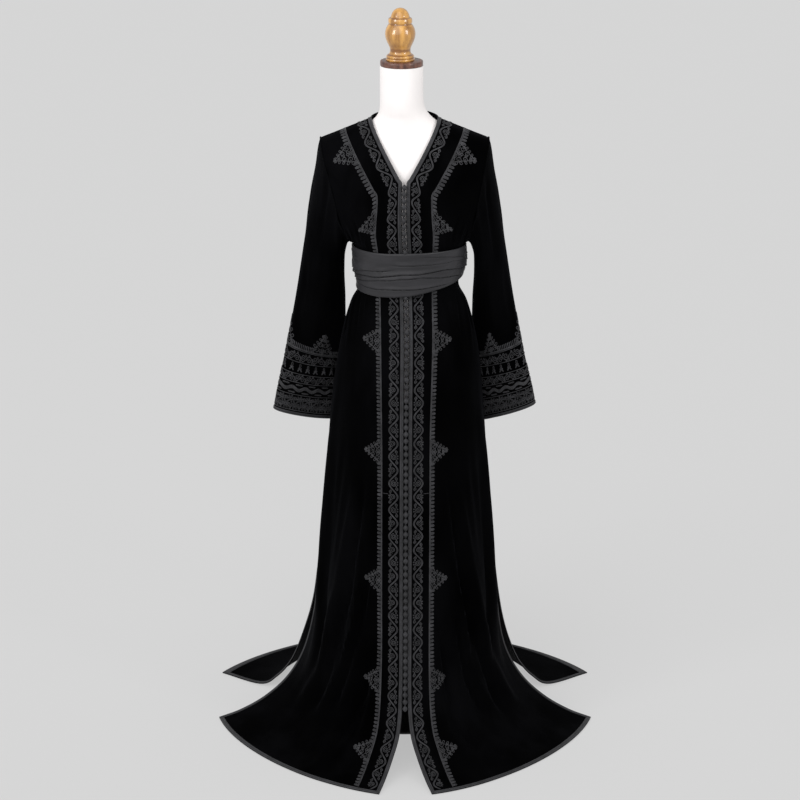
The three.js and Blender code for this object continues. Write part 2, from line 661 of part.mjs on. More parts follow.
// ---------------------------------------------------------------- sleeves
/** A sleeve panel, with rows where the cuff's trims begin and end. */
function sleevePanel(side) {
  const surface = sleeveSurface(side);
  const line = (t) => surface(90, t);
  const last = SLEEVE.length;
  const trims = [CUFF.peak, CUFF.to, CUFF.middle, CUFF.from, BRAID.wide];
  const cuff = trims.map((far) => walk(line, last, 0, far));
  const rows = fill([0, 1, ...cuff, last], [line], SLEEVE_STEP);
  const angles = Array.from({ length: CUFF.sides }, (_, j) => (j * 360) / CUFF.sides);
  const points = rows.map((t) => angles.map((a) => surface(a, t)));
  const row = rows.length >> 1;
  const middle = surface(0, rows[row]).add(surface(180, rows[row])).multiplyScalar(0.5);
  return { ...panel(points, true, middle), rows, cuff: cuff.map((t) => rows.indexOf(t)) };
}

/** At the armhole a sleeve's wall lies in the plane of the seam. */
function armholeLevel(n, i, j) {
  if (i > 0) return n;
  const a = degToRad((j * 360) / CUFF.sides);
  return point(0, -Math.sin(a), Math.cos(a));
}

/** Places for the corded cuff, with its upper edge in points. */
function cuffPlaces(cloth) {
  const [peak, to, middle, from] = cloth.cuff;
  const columns = steps(0, CUFF.sides - 1, CUFF.sides - 1);
  const top = columns.map((j) => [CUFF.peaks.includes(j) ? peak : lerp(to, peak, CUFF.valley), j]);
  return [top, ...[to, middle, from].map((i) => columns.map((j) => [i, j]))];
}

/** Places for the braid round the cuff. */
function cuffEdge(cloth) {
  const columns = steps(0, CUFF.sides - 1, CUFF.sides - 1);
  return [cloth.cuff[4], cloth.rows.length - 1].map((i) => columns.map((j) => [i, j]));
}

// ---------------------------------------------------------------- buttons and sash
/** A run of knotted buttons down the closing, as one beaded cord. */
function buttonRun(from, to) {
  const [left, right] = [frontSurface(-1), frontSurface(1)];
  const centre = (t) => left(0, t).add(right(0, t)).multiplyScalar(0.5);
  const rows = steps(atHeight(centre, from), atHeight(centre, to), 60);
  const line = new THREE.CatmullRomCurve3(rows.map(centre));
  const count = 2 * Math.floor(line.getLength() / BUTTON.pitch);
  const sections = steps(0, 1, count).map((place, i) => {
    const across = point(1, 0, 0);
    const out = across.clone().cross(line.getTangentAt(place)).normalize();
    const r = i % 2 ? BUTTON.r : BUTTON.neck;
    return Array.from({ length: BUTTON.sides }, (_, j) => {
      const a = (j * 2 * Math.PI) / BUTTON.sides;
      const p = line.getPointAt(place);
      return p.addScaledVector(across, r * Math.cos(a)).addScaledVector(out, r * Math.sin(a));
    });
  });
  return rings(sections);
}

/** A ring round the waist, share 0 at the sash's top and 1 at its bottom, some way out from the body. */
function bodyRing(share, out) {
  const [tilt, rise] = [SASH_HANG.tilt, SASH_HANG.rise].map(([top, bottom]) => lerp(top, bottom, share));
  const sides = { 1: frontSurface(1), [-1]: frontSurface(-1) };
  return Array.from({ length: SASH.sides }, (_, j) => {
    const turn = (j * 4) / SASH.sides;
    const quarter = Math.floor(turn);
    const part = turn - quarter;
    const u = quarter % 2 ? part : 1 - part;
    const side = quarter === 1 || quarter === 2 ? -1 : 1;
    const aside = Math.cos((j * 2 * Math.PI) / SASH.sides);
    const level = lerp(...SASH_ROWS, share) - tilt * aside - rise * aside ** 2;
    const p = quarter < 2 ? backSurface(side * Math.max(u, 1e-9), level) : sides[side](u, level);
    return spread(p, out);
  });
}

/** The sash: a closed ring round the waist with raised pleats and a plain inside. */
function sash() {
  const clear = (share) => between4(SASH_CLEAR[0], SASH_CLEAR[0], SASH_CLEAR[1], SASH_CLEAR[2], 2 * share);
  const clearance = (share) =>
    share < 0.5 ? clear(share) : between4(...SASH_CLEAR, SASH_CLEAR[2], 2 * share - 1);
  const levels = steps(0, 1, 2 * SASH.pleats);
  const outer = levels.map((share, i) =>
    bodyRing(share, clearance(share) - (i % 2 ? 0 : SASH.pleat)),
  );
  const lining = SASH.pleat + SASH.thick;
  const inner = [1, 0.5, 0].map((share) => bodyRing(share, clearance(share) - lining));
  const loop = [...outer, ...inner];
  const sections = Array.from({ length: SASH.sides }, (_, j) => loop.map((ring) => ring[j]));
  const count = loop.length;
  const at = (i, j) => (i % SASH.sides) * count + (j % count);
  const faces = [];
  for (let i = 0; i < SASH.sides; i++)
    for (let j = 0; j < count; j++) {
      faces.push([at(i, j), at(i + 1, j), at(i + 1, j + 1)]);
      faces.push([at(i, j), at(i + 1, j + 1), at(i, j + 1)]);
    }
  return facingOut(sections.flat(), faces);
}

// ---------------------------------------------------------------- dress form
/** The torso and neck, flat on top and flat under the hips. */
function torso() {
  const row = (k) => FORM[k];
  const last = FORM.length - 1;
  const sizes = (t, names) => {
    const i = Math.min(Math.floor(t), last - 1);
    const four = [i - 1, i, i + 1, i + 2].map((k) => row(Math.min(Math.max(k, 0), last)));
    return names.map((name) => between4(...four.map((r) => r[name]), t - i));
  };
  const sections = steps(0, last, last).map((t) => {
    const [high, side, wide, front, back] = sizes(t, FORM_COLUMNS);
    return oval(FORM_SIDES, point(side, 0, high), wide, front, back);
  });
  return rings(sections);
}

/** A turned piece, from a profile of radius and height, standing at a place. */
function turned(profile, sides, high = 0, side = 0) {
  const lathe = new THREE.LatheGeometry(profile.map(([r, z]) => new THREE.Vector2(r, z)), sides);
  return lathe.rotateX(Math.PI / 2).translate(side, 0, high);
}

/** The pole, with the flange that the torso sits on. */
function pole() {
  const top = FORM[FORM.length - 1].high - FIT;
  const flangeLow = top - POLE.flangeThick;
  const low = BASE.thick + FIT;
  const tube = [[0, low], [POLE.r, low]];
  const flange = [[POLE.r, flangeLow], [POLE.flange, flangeLow], [POLE.flange, top], [0, top]];
  const profile = [...tube, ...flange];
  return turned(profile, 14);
}

/** The base, with its underside flat on the floor and a hub that takes the pole. */
function base() {
  const socket = POLE.r + FIT;
  const profile = [
    [0, 0],
    [BASE.r - 2, 0],
    [BASE.r, 2.5],
    [BASE.r - 3, BASE.thick - 3],
    [BASE.hub * 1.6, BASE.thick + 6],
    [BASE.hub, BASE.thick + 12],
    [BASE.hub * 0.85, BASE.hubHigh],
    [socket, BASE.hubHigh],
    [socket, BASE.thick],
    [0, BASE.thick],
  ];
  return turned(profile, 24);
}

// ---------------------------------------------------------------- the whole
const model = new THREE.Group();

/** Adds a named piece to the model. */
function piece(name, geometry, material) {
  const mesh = new THREE.Mesh(geometry, material);
  mesh.name = name;
  model.add(mesh);
}

for (const [name, side] of [["left", -1], ["right", 1]]) {
  const front = frontPanel(side);
  const split = (i) => front.motifs.includes(i);
  piece(`front_${name}`, wall(front, levelled(front), split), FINISH.velvet);
  piece(`edge_braid_${name}`, trim(front, frontEdge(front), BRAID.thick), FINISH.braid);
  piece(`scroll_band_${name}`, trim(front, bandPlaces(front, 2, 3), CORDING), FINISH.cord);
  piece(`comb_band_${name}`, trim(front, combPlaces(front), CORDING, false, split), FINISH.cord);

  const sleeve = sleevePanel(side);
  piece(`sleeve_${name}`, wall(sleeve, armholeLevel), FINISH.velvet);
  piece(`cuff_cording_${name}`, trim(sleeve, cuffPlaces(sleeve), CORDING, true), FINISH.cord);
  piece(`cuff_braid_${name}`, trim(sleeve, cuffEdge(sleeve), BRAID.thick, true), FINISH.braid);
}

const back = backPanel();
piece("back", wall(back, levelled(back)), FINISH.velvet);
piece("edge_braid_back", trim(back, backEdge(back), BRAID.thick), FINISH.braid);
piece("neck_braid_back", trim(back, backNeckEdge(back), BRAID.thick), FINISH.braid);
for (const { name, from, to } of BUTTON_RUNS) piece(name, buttonRun(from, to), FINISH.braid);
piece("sash", sash(), FINISH.satin);

piece("form_torso", torso(), FINISH.jersey);
piece("neck_cap", turned(NECK_CAP, 20, NECK_TOP + FIT, -7), FINISH.darkWood);
piece("finial", turned(FINIAL, 18, NECK_TOP + 2 * FIT + NECK_CAP.at(-1)[1], FINIAL_SIDE), FINISH.turnedWood);
piece("pole", pole(), FINISH.steel);
piece("base", base(), FINISH.steel);

export default model;
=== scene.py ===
"""A long velvet caftan with corded bands, knot buttons and a pleated sash, worn by a limbless dress form.

Every size in a class is in millimetres: +Z is up, the front faces -Y, and the origin is on the floor under
the pole. Finishes and lamps are in metres. Lines down a front are measured from its centre edge.
"""

from __future__ import annotations

import logging
import math
from collections.abc import Callable, Iterable, Sequence
from dataclasses import dataclass, field
from enum import Enum
from functools import cached_property

import bpy
import numpy as np
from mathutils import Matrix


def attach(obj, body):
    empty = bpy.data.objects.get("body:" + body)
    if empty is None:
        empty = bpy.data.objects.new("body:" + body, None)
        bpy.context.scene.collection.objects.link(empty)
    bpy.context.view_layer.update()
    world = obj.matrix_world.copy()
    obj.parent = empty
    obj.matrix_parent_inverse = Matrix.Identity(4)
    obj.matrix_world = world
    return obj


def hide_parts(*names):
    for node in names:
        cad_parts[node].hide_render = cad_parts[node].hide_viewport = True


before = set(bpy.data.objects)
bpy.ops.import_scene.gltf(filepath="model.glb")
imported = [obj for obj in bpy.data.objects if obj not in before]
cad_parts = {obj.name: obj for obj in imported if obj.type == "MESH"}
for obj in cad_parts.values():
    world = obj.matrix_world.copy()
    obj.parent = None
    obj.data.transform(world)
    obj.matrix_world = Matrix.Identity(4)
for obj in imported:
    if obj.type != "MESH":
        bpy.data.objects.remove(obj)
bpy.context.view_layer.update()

LOG = logging.getLogger("caftan")
MM = 0.001
Array = np.ndarray


class Side(Enum):
    """A side of the garment, as its viewer sees it from the front."""

    LEFT = -1
    RIGHT = 1

    @property
    def word(self) -> str:
        """The side's name in a node's name."""
        return self.name.lower()


# ---------------------------------------------------------------- shader maths
class Value:
    """A socket whose operators add the nodes that work the sum out."""

    def __init__(self, graph: Graph, socket: bpy.types.NodeSocket) -> None:
        """Wraps one output socket of a graph."""
        self.graph = graph
        self.socket = socket

    def _math(self, operation: str, *terms: Value | float) -> Value:
        """Adds one Math node.

        Args:
            operation: Blender's name of the operation.
            terms: its values in order.

        Returns:
            The node's result.
        """
        return self.graph.node("Math", {"operation": operation}, dict(enumerate(terms)))

    def __add__(self, other: Value | float) -> Value:
        """Adds."""
        return self._math("ADD", self, other)

    __radd__ = __add__

    def __sub__(self, other: Value | float) -> Value:
        """Takes away."""
        return self._math("SUBTRACT", self, other)

    def __rsub__(self, other: Value | float) -> Value:
        """Is taken away from a number."""
        return self._math("SUBTRACT", other, self)

    def __mul__(self, other: Value | float) -> Value:
        """Multiplies."""
        return self._math("MULTIPLY", self, other)

    __rmul__ = __mul__

    def wave(self) -> Value:
        """The sine, moved to run from 0 to 1."""
        return self._math("SINE", self) * 0.5 + 0.5

    def size(self) -> Value:
        """The value without its sign."""
        return self._math("ABSOLUTE", self)

    def clear(self, low: float, high: float) -> Value:
        """The share from low to high, smooth at both ends."""
        settings = {"interpolation_type": "SMOOTHSTEP"}
        return self.graph.node("MapRange", settings, {"Value": self, "From Min": low, "From Max": high})


class Graph:
    """The node graph of one material."""

    def __init__(self, name: str) -> None:
        """Starts an empty material.

        Args:
            name: the material's name.
        """
        self.material = bpy.data.materials.new(name)
        self.material.use_nodes = True
        self.tree = self.material.node_tree
        self.tree.nodes.clear()

    def node(self, kind: str, settings: dict | None = None, sockets: dict | None = None,
             output: int | str = 0) -> Value:
        """Adds any node.

        Args:
            kind: the node's type without its ShaderNode prefix.
            settings: properties that are set first.
            sockets: values or links, by the input's name or number.
            output: the output to return.

        Returns:
            The chosen output.
        """
        made = self.tree.nodes.new("ShaderNode" + kind)
        for key, value in (settings or {}).items():
            setattr(made, key, value)
        for key, value in (sockets or {}).items():
            if isinstance(value, Value):
                self.tree.links.new(value.socket, made.inputs[key])
            else:
                made.inputs[key].default_value = value
        return Value(self, made.outputs[output])

    def place(self, scale: Sequence[float] = (1, 1, 1)) -> Value:
        """The place on the object in metres, stretched along each axis."""
        at = self.node("TexCoord", output="Object")
        return self.node("VectorMath", {"operation": "MULTIPLY"}, {0: at, 1: tuple(scale)})

    def lay(self) -> tuple[Value, Value]:
        """How far across and along its own cloth or cord a point lies, in metres.

        Returns:
            The distance across and the distance along.
        """
        at = self.node("Attribute", {"attribute_name": "lay"}, output="Vector")
        parts = self.node("SeparateXYZ", sockets={0: at})
        return parts, Value(self, parts.socket.node.outputs[1])

    def noise(self, at: Value, scale: float, detail: float = 3.0) -> Value:
        """Soft noise from 0 to 1."""
        return self.node("TexNoise", sockets={"Vector": at, "Scale": scale, "Detail": detail})

    def blend(self, share: Value | float, dark: Sequence[float] | Value,
              light: Sequence[float] | Value) -> Value:
        """Mixes two colours.

        Args:
            share: 0 for the first colour and 1 for the second.
            dark: the first colour.
            light: the second colour.

        Returns:
            The mixed colour.
        """
        colours = {6: dark, 7: light}
        sockets = {key: c if isinstance(c, Value) else (*c, 1) for key, c in colours.items()}
        settings = {"data_type": "RGBA", "clamp_factor": True}
        return self.node("Mix", settings, {0: share, **sockets}, output=2)

    def bump(self, height: Value, far: float, strength: float = 1.0,
             under: Value | None = None) -> Value:
        """A normal from a height.

        Args:
            height: 0 low, 1 high.
            far: how far high stands over low, in metres.
            strength: share of the effect.
            under: a normal that this one is laid on.

        Returns:
            The normal.
        """
        sockets = {"Height": height, "Distance": far, "Strength": strength}
        if under is not None:
            sockets["Normal"] = under
        return self.node("Bump", sockets=sockets)

    def surface(self, **sockets: Value | float | Sequence[float]) -> bpy.types.Material:
        """Ends the graph in one Principled shader.

        Args:
            sockets: its inputs, with _ for each space in their names.

        Returns:
            The finished material.
        """
        named = {key.replace("_", " "): value for key, value in sockets.items()}
        shader = self.node("BsdfPrincipled", sockets=named)
        self.node_output(shader)
        return self.material

    def node_output(self, shader: Value) -> None:
        """Links a shader to the material's output."""
        out = self.tree.nodes.new("ShaderNodeOutputMaterial")
        self.tree.links.new(shader.socket, out.inputs[0])


# ---------------------------------------------------------------- finishes
Shade = tuple[float, float, float]


@dataclass(frozen=True)
class Velvet:
    """Black silk velvet: a deep pile, laid both ways by brushing, that shines only at a slant; lighter
    streaks of pile are painted into its colour as painted sheen.
    """

    base: Shade = (0.00015, 0.00015, 0.0002)
    brushed_sheen: Shade = (0.0024, 0.0024, 0.0029)
    pile: float = 0.0009

    def material(self) -> bpy.types.Material:
        """Builds the velvet.

        Returns:
            The finished material.
        """
        g = Graph("black_velvet")
        # Painted sheen: lighter streaks and patches of pile painted into the colour, and painted shade
        # between the pile's tufts.
        streaks = g.noise(g.place((9, 9, 2.2)), 1.0, 5).clear(0.42, 0.72)
        patches = g.noise(g.place((4, 4, 3)), 1.6, 2).clear(0.35, 0.7)
        brushed_sheen = streaks * 0.65 + patches * 0.35
        tufts = g.noise(g.place(), 900, 2)
        crush = g.noise(g.place((60, 60, 22)), 1.0, 3)
        normal = g.bump(tufts, self.pile, 0.5, g.bump(crush, 0.0012, 0.35))
        colour = g.blend(brushed_sheen * (0.7 + tufts * 0.6), self.base, self.brushed_sheen)
        return g.surface(Base_Color=colour, Roughness=0.92 - brushed_sheen * 0.12, Normal=normal,
                         Specular_IOR_Level=0.012, Sheen_Weight=0.012, Sheen_Roughness=0.4,
                         Sheen_Tint=(0.82, 0.85, 1.0, 1))


@dataclass(frozen=True)
class Cord:
    """Couched silk cord: two plies twisted together, a little worn on top, with painted shade in the
    grooves between the plies.
    """

    dark: Shade = (0.008, 0.008, 0.0095)
    light: Shade = (0.058, 0.058, 0.064)
    twist: float = 2600.0

    def material(self) -> bpy.types.Material:
        """Builds the cord.

        Returns:
            The finished material.
        """
        g = Graph("couched_cord")
        across, along = g.lay()
        plies = (along * self.twist + across * 900).wave()
        worn = g.noise(g.place(), 60, 4).clear(0.3, 0.75)
        # Painted shade: the colour darkens in the grooves between the plies, along the same twist as the
        # bump; the worn patches are random tone.
        shade = plies * 0.45 + worn * 0.55
        colour = g.blend(shade, self.dark, self.light)
        return g.surface(Base_Color=colour, Roughness=0.62 - shade * 0.2, Specular_IOR_Level=0.35,
                         Sheen_Weight=0.05, Normal=g.bump(plies, 0.00035, 0.8))


@dataclass(frozen=True)
class Braid:
    """Flat silk braid: strands that cross in a herringbone, with a soft shine, and painted shade between
    the strands and in the troughs between its ridges.
    """

    dark: Shade = (0.005, 0.005, 0.0062)
    light: Shade = (0.052, 0.052, 0.059)
    strand: float = 1750.0
    ridges: float = 1396.0

    def material(self) -> bpy.types.Material:
        """Builds the braid.

        Returns:
            The finished material.
        """
        g = Graph("silk_braid")
        across, along = g.lay()
        plait = (along * self.strand + across.size() * 1400).wave()
        worn = g.noise(g.place(), 45, 4).clear(0.3, 0.75)
        # Painted shade: the colour darkens between the plaited strands and in the troughs between the
        # braid's own ridges, which lie where the ribbon's shape puts them.
        ridges = (across * self.ridges - math.pi / 2).wave()
        colour = g.blend((plait * 0.4 + worn * 0.6) * (0.35 + ridges * 0.65), self.dark, self.light)
        return g.surface(Base_Color=colour, Roughness=0.5 + worn * 0.15, Specular_IOR_Level=0.4,
                         Sheen_Weight=0.04, Normal=g.bump(plait, 0.0005, 0.9))


@dataclass(frozen=True)
class Satin:
    """Charcoal silk satin, woven with fine ribs along the sash, with painted shade in the troughs of its
    small creases.
    """

    dark: Shade = (0.0075, 0.0073, 0.0094)
    light: Shade = (0.021, 0.0204, 0.0245)

    def material(self) -> bpy.types.Material:
        """Builds the satin.

        Returns:
            The finished material.
        """
        g = Graph("charcoal_satin")
        across, along = g.lay()
        ribs = (along * 5200).wave()
        threads = g.noise(g.place((40, 40, 900)), 1.0, 3)
        creased = g.noise(g.place((14, 14, 60)), 1.0, 4).clear(0.3, 0.75)
        # Painted shade: the colour darkens in the troughs of the same small creases that the bump makes.
        colour = g.blend(creased * 0.7 + threads * 0.3, self.dark, self.light)
        normal = g.bump(ribs, 0.0001, 0.4, g.bump(creased, 0.0015, 0.3))
        return g.surface(Base_Color=colour, Roughness=0.42 + threads * 0.16, Normal=normal,
                         Specular_IOR_Level=0.45, Sheen_Weight=0.05)


@dataclass(frozen=True)
class Jersey:
    """Cream cotton jersey stretched over the form, with fine knitted wales and painted shade between them.
    """

    dark: Shade = (0.81, 0.775, 0.765)
    light: Shade = (0.895, 0.865, 0.86)

    def material(self) -> bpy.types.Material:
        """Builds the jersey.

        Returns:
            The finished material.
        """
        g = Graph("cream_jersey")
        across, along = g.lay()
        wales = (across * 5600).wave() * (along * 4200).wave()
        aged = g.noise(g.place(), 9, 4).clear(0.3, 0.8)
        # Painted shade: the colour darkens between the knitted wales, along the same pattern as the bump;
        # the aged patches are random tone.
        colour = g.blend(aged * 0.6 + wales * 0.4, self.dark, self.light)
        return g.surface(Base_Color=colour, Roughness=0.86, Specular_IOR_Level=0.2,
                         Sheen_Weight=0.08, Normal=g.bump(wales, 0.0002, 0.5))


@dataclass(frozen=True)
class TurnedWood:
    """Honey-coloured varnished wood, its grain along the turning's axis and painted shade in its grooves.

    Attributes:
        grooves: each groove's height and half its width, where the colour is painted darker as painted
            shade.
    """

    dark: Shade = (0.22, 0.085, 0.013)
    light: Shade = (0.7, 0.37, 0.086)
    stretch: Shade = (70.0, 70.0, 9.0)
    grooves: tuple[tuple[float, float], ...] = (
        (1.5892, 0.0016), (1.5965, 0.0022), (1.6655, 0.0026), (1.679, 0.0022), (1.607, 0.006))

    def material(self) -> bpy.types.Material:
        """Builds the varnished wood.

        Returns:
            The finished material.
        """
        g = Graph("varnished_wood")
        at = g.place(self.stretch)
        figure = g.noise(at, 1.0, 6).clear(0.28, 0.75)
        pores = g.noise(g.place((520, 520, 40)), 1.0, 2).clear(0.58, 0.72)
        worn = g.noise(g.place(), 40, 3)
        parts = g.node("SeparateXYZ", sockets={0: g.place()})
        high = Value(g, parts.socket.node.outputs[2])
        tone = 0.15 + figure * 0.85 - pores * 0.3
        # Painted shade: the colour darkens in each groove of the turning.
        for middle, half in self.grooves:
            tone = tone - (1 - (high - middle).size() * (1 / half)).clear(0, 1) * 0.6
        colour = g.blend(tone, self.dark, self.light)
        return g.surface(Base_Color=colour, Roughness=0.24 + worn * 0.12, Coat_Weight=0.85,
                         Coat_Roughness=0.13, Normal=g.bump(figure - pores, 0.00025, 0.2))


@dataclass(frozen=True)
class DarkWood:
    """Reddish brown stained wood."""

    dark: Shade = (0.055, 0.017, 0.011)
    light: Shade = (0.2, 0.082, 0.05)

    def material(self) -> bpy.types.Material:
        """Builds the stained wood.

        Returns:
            The finished material.
        """
        g = Graph("stained_wood")
        figure = g.noise(g.place((120, 18, 60)), 1.0, 5).clear(0.3, 0.75)
        pores = g.noise(g.place((900, 90, 300)), 1.0, 2).clear(0.55, 0.75)
        colour = g.blend(figure - pores * 0.4, self.dark, self.light)
        return g.surface(Base_Color=colour, Roughness=0.38 + figure * 0.15, Coat_Weight=0.25,
                         Coat_Roughness=0.2, Normal=g.bump(figure - pores, 0.0003, 0.4))


@dataclass(frozen=True)
class PaintedSteel:
    """Black powder-coated steel with a fine orange-peel surface and a few rubbed places."""

    dark: Shade = (0.012, 0.012, 0.013)
    light: Shade = (0.05, 0.05, 0.053)

    def material(self) -> bpy.types.Material:
        """Builds the painted steel.

        Returns:
            The finished material.
        """
        g = Graph("painted_steel")
        peel = g.noise(g.place(), 700, 2)
        rubbed = g.noise(g.place(), 14, 5).clear(0.55, 0.75)
        colour = g.blend(rubbed * 0.8 + peel * 0.2, self.dark, self.light)
        return g.surface(Base_Color=colour, Roughness=0.5 - rubbed * 0.15, Metallic=0.1,
                         Normal=g.bump(peel, 0.0002, 0.5))


@dataclass(frozen=True)
class Bead:
    """Jet glass beads."""

    dark: Shade = (0.01, 0.01, 0.012)
    light: Shade = (0.16, 0.16, 0.18)

    def material(self) -> bpy.types.Material:
        """Builds the glass beads.

        Returns:
            The finished material.
        """
        g = Graph("jet_bead")
        tone = g.noise(g.place(), 220, 2).clear(0.35, 0.7)
        return g.surface(Base_Color=g.blend(tone, self.dark, self.light), Roughness=0.12 + tone * 0.1,
                         Metallic=0.35)


@dataclass(frozen=True)
class StudioFloor:
    """A pale matt studio floor that is lit from below too, so that shadows on it are faint."""

    dark: Shade = (0.248, 0.248, 0.248)
    light: Shade = (0.252, 0.252, 0.252)
    glow: float = 0.455

    def material(self) -> bpy.types.Material:
        """Builds the floor.

        Returns:
            The finished material.
        """
        g = Graph("studio_floor")
        tone = g.noise(g.place(), 3, 3)
        return g.surface(Base_Color=g.blend(tone, self.dark, self.light), Roughness=1.0,
                         Specular_IOR_Level=0.0, Normal=g.bump(tone, 0.0002, 0.1),
                         Emission_Color=(1, 1, 1, 1), Emission_Strength=self.glow)


def built(kind: type) -> bpy.types.Material:
    """A field that starts as the material of one finish."""
    return field(default_factory=lambda: kind().material())


@dataclass
class Finishes:
    """One built material for each finish."""

    velvet: bpy.types.Material = built(Velvet)
    cord: bpy.types.Material = built(Cord)
    braid: bpy.types.Material = built(Braid)
    satin: bpy.types.Material = built(Satin)
    jersey: bpy.types.Material = built(Jersey)
    turned_wood: bpy.types.Material = built(TurnedWood)
    dark_wood: bpy.types.Material = built(DarkWood)
    steel: bpy.types.Material = built(PaintedSteel)
    bead: bpy.types.Material = built(Bead)
    floor: bpy.types.Material = built(StudioFloor)


# ---------------------------------------------------------------- curves
def smooth(x: Array | float, low: float, high: float) -> Array:
    """The share from low to high, smooth at both ends."""
    s = np.clip((np.asarray(x, float) - low) / (high - low), 0, 1)
    return s * s * (3 - 2 * s)


def bulge(off: Array | float) -> Array:
    """A soft ridge: 1 in the middle, 0 beyond 1 to either side."""
    return np.clip(1 - np.square(off), 0, None) ** 2


def unit(v: Array) -> Array:
    """Vectors cut to length 1."""
    return v / np.maximum(np.linalg.norm(v, axis=-1, keepdims=True), 1e-12)


def between4(a: Array, b: Array, c: Array, d: Array, f: Array) -> Array:
    """A smooth curve from b to c that never overshoots.

    Args:
        a: the point before.
        b: the start.
        c: the end.
        d: the point after.
        f: share from b to c.

    Returns:
        The points at f.
    """
    def slope(before: Array, after: Array) -> Array:
        """The slope where two steps meet."""
        held = np.minimum(np.abs(before + after) / 2, 2 * np.minimum(np.abs(before), np.abs(after)))
        return np.where(before * after <= 0, 0, np.sign(after) * held)

    m, n = slope(b - a, c - b), slope(c - b, d - c)
    return b + (c - b) * (3 * f**2 - 2 * f**3) + m * (f**3 - 2 * f**2 + f) + n * (f**3 - f**2)


def through(row: Callable[[Array], Array], last: int, t: Array) -> Array:
    """A smooth curve through numbered rows.

    Args:
        row: gives the points of row numbers.
        last: the last row's number.
        t: places, in rows.

    Returns:
        The points.
    """
    i = np.clip(np.floor(t).astype(int), 0, last - 1)
    b, c = row(i), row(i + 1)
    a = np.where((i > 0)[..., None], row(np.maximum(i - 1, 0)), 2 * b - c)
    d = np.where((i + 2 <= last)[..., None], row(np.minimum(i + 2, last)), 2 * c - b)
    return between4(a, b, c, d, (t - i)[..., None])


def arc(start: Array, end: Array, bow: Array, u: Array, level: bool = False) -> Array:
    """An arc from start to end.

    Args:
        start: first points.
        end: last points.
        bow: 0 straight, 1 a quarter of an ellipse.
        u: share of the arc.
        level: keeps the arc square to its start.

    Returns:
        The points.
    """
    middle = (start + end) / 2
    corner = np.stack([end[..., 0], start[..., 1], middle[..., 2]], -1)
    pull = middle + (corner - middle) * bow[..., None]
    if level:
        pull[..., 1] = start[..., 1]
    weights = np.stack([(1 - u) ** 2, 2 * math.sqrt(0.5) * u * (1 - u), u * u], -1)
    total = weights.sum(-1, keepdims=True)
    return (start * weights[..., :1] + pull * weights[..., 1:2] + end * weights[..., 2:]) / total


def travelled(line: Array) -> Array:
    """How far along a polyline each of its points lies."""
    return np.concatenate([[0], np.cumsum(np.linalg.norm(np.diff(line, axis=0), axis=1))])


def spaced(line: Array, step: float) -> Array:
    """A polyline's points at even steps, ends kept.

    Args:
        line: its points.
        step: the wanted step.

    Returns:
        The even points.
    """
    run = travelled(line)
    count = max(2, round(run[-1] / step) + 1)
    places = np.linspace(0, run[-1], count)
    return np.stack([np.interp(places, run, line[:, k]) for k in range(line.shape[1])], 1)


# ---------------------------------------------------------------- the garment's surface
BODICE = (
    (0.0, 0, 0.0, 1466, 50),
    (0.06, 15, 0.2, 1448, 58),
    (0.16, 32, 0.35, 1424, 68),
    (0.32, 52, 0.5, 1390, 80),
    (0.54, 75, 0.65, 1346, 89),
    (0.78, 98, 0.75, 1302, 93),
    (0.92, 115, 0.8, 1276, 93),
    (1.0, 130, 0.85, 1252, 92),
)
"""Rows beside the V: share down its edge, armhole angle, bow, and the back's height and reach."""

CHEST = (
    (1278, 120, 154, 0.93, 1216, 88),
    (1222, 119, 180, 1.0, 1182, 84),
)
"""Rows below the V: the front's height and reach, armhole angle, bow, and the back's height and reach."""

SLIT_TOP = 350.0
SKIRT = (
    (1165, 112, 5.2, 1.0, 1158, 82, 1.0, 125, 0, 1159, 125, 0, 1159),
    (1110, 105, 5.2, 1.0, 1111, 81, 1.0, 122, 0, 1114, 122, 0, 1114),
    (1062, 103, 5.2, 1.0, 1064, 84, 1.0, 114, 0, 1068, 114, 0, 1068),
    (1022, 118, 5.2, 1.0, 1022, 100, 1.0, 135, 0, 1022, 135, 0, 1022),
    (950, 140, 5.2, 1.0, 950, 122, 1.0, 154, 0, 955, 154, 0, 955),
    (860, 162, 5.2, 1.0, 860, 136, 1.0, 169, 0, 868, 169, 0, 868),
    (740, 184, 5.2, 1.0, 740, 146, 1.0, 181, 0, 750, 181, 0, 750),
    (600, 208, 5.2, 1.0, 600, 164, 1.0, 191, 0, 612, 191, 0, 612),
    (460, 234, 5.2, 1.0, 460, 190, 1.0, 203, 0, 474, 203, 0, 474),
    (332, 264, 5.2, 0.98, 332, 222, 0.98, 214, 0, SLIT_TOP, 214, 0, SLIT_TOP),
    (232, 296, 5.2, 0.9, 232, 254, 0.9, 222, -12, 248, 229, 14, 248),
    (150, 334, 6.5, 0.8, 150, 286, 0.75, 243, -32, 160, 253, 32, 156),
    (90, 372, 13, 0.7, 90, 318, 0.6, 282, -56, 96, 281, 50, 84),
    (46, 408, 29, 0.62, 46, 346, 0.48, 336, -84, 54, 318, 72, 31),
    (16, 450, 46, 0.57, 16, 374, 0.38, 396, -96, 22, 362, 84, 5),
    (2.6, 490, 60, 0.56, 2.6, 402, 0.34, 450, -101, 2.6, 460, 152, 2.6),
)
"""Rows below the armhole: the front's height, reach, half gap and bow, the back's height, reach and bow,
then the x, y and z of the front's side edge and of the back's."""

SWAY_HIGH = (0, 150, 300, 740, 960, 1130, 1250, 1400)
SWAY_CLOSING = (1, 1, 2, 3, 4.5, 1.5, -2, 0)
SWAY_SIDE = (3, 3, 6, 7, 10, 11, 4, 0)
SWAY_WIDE = (1.5, 1.5, 5, 5, 0, 0, 0, 0)
SWAY_REACH = (20.0, 110.0, 165.0, 215.0)
"""The sideways hang: heights, how far the closing, the sides and the widest places move, and where."""

CUFF_HANG = (0.12, 207.0, 760.0, 920.0)
"""How the right cuff lies up on its outer side: slope, place across, and heights."""


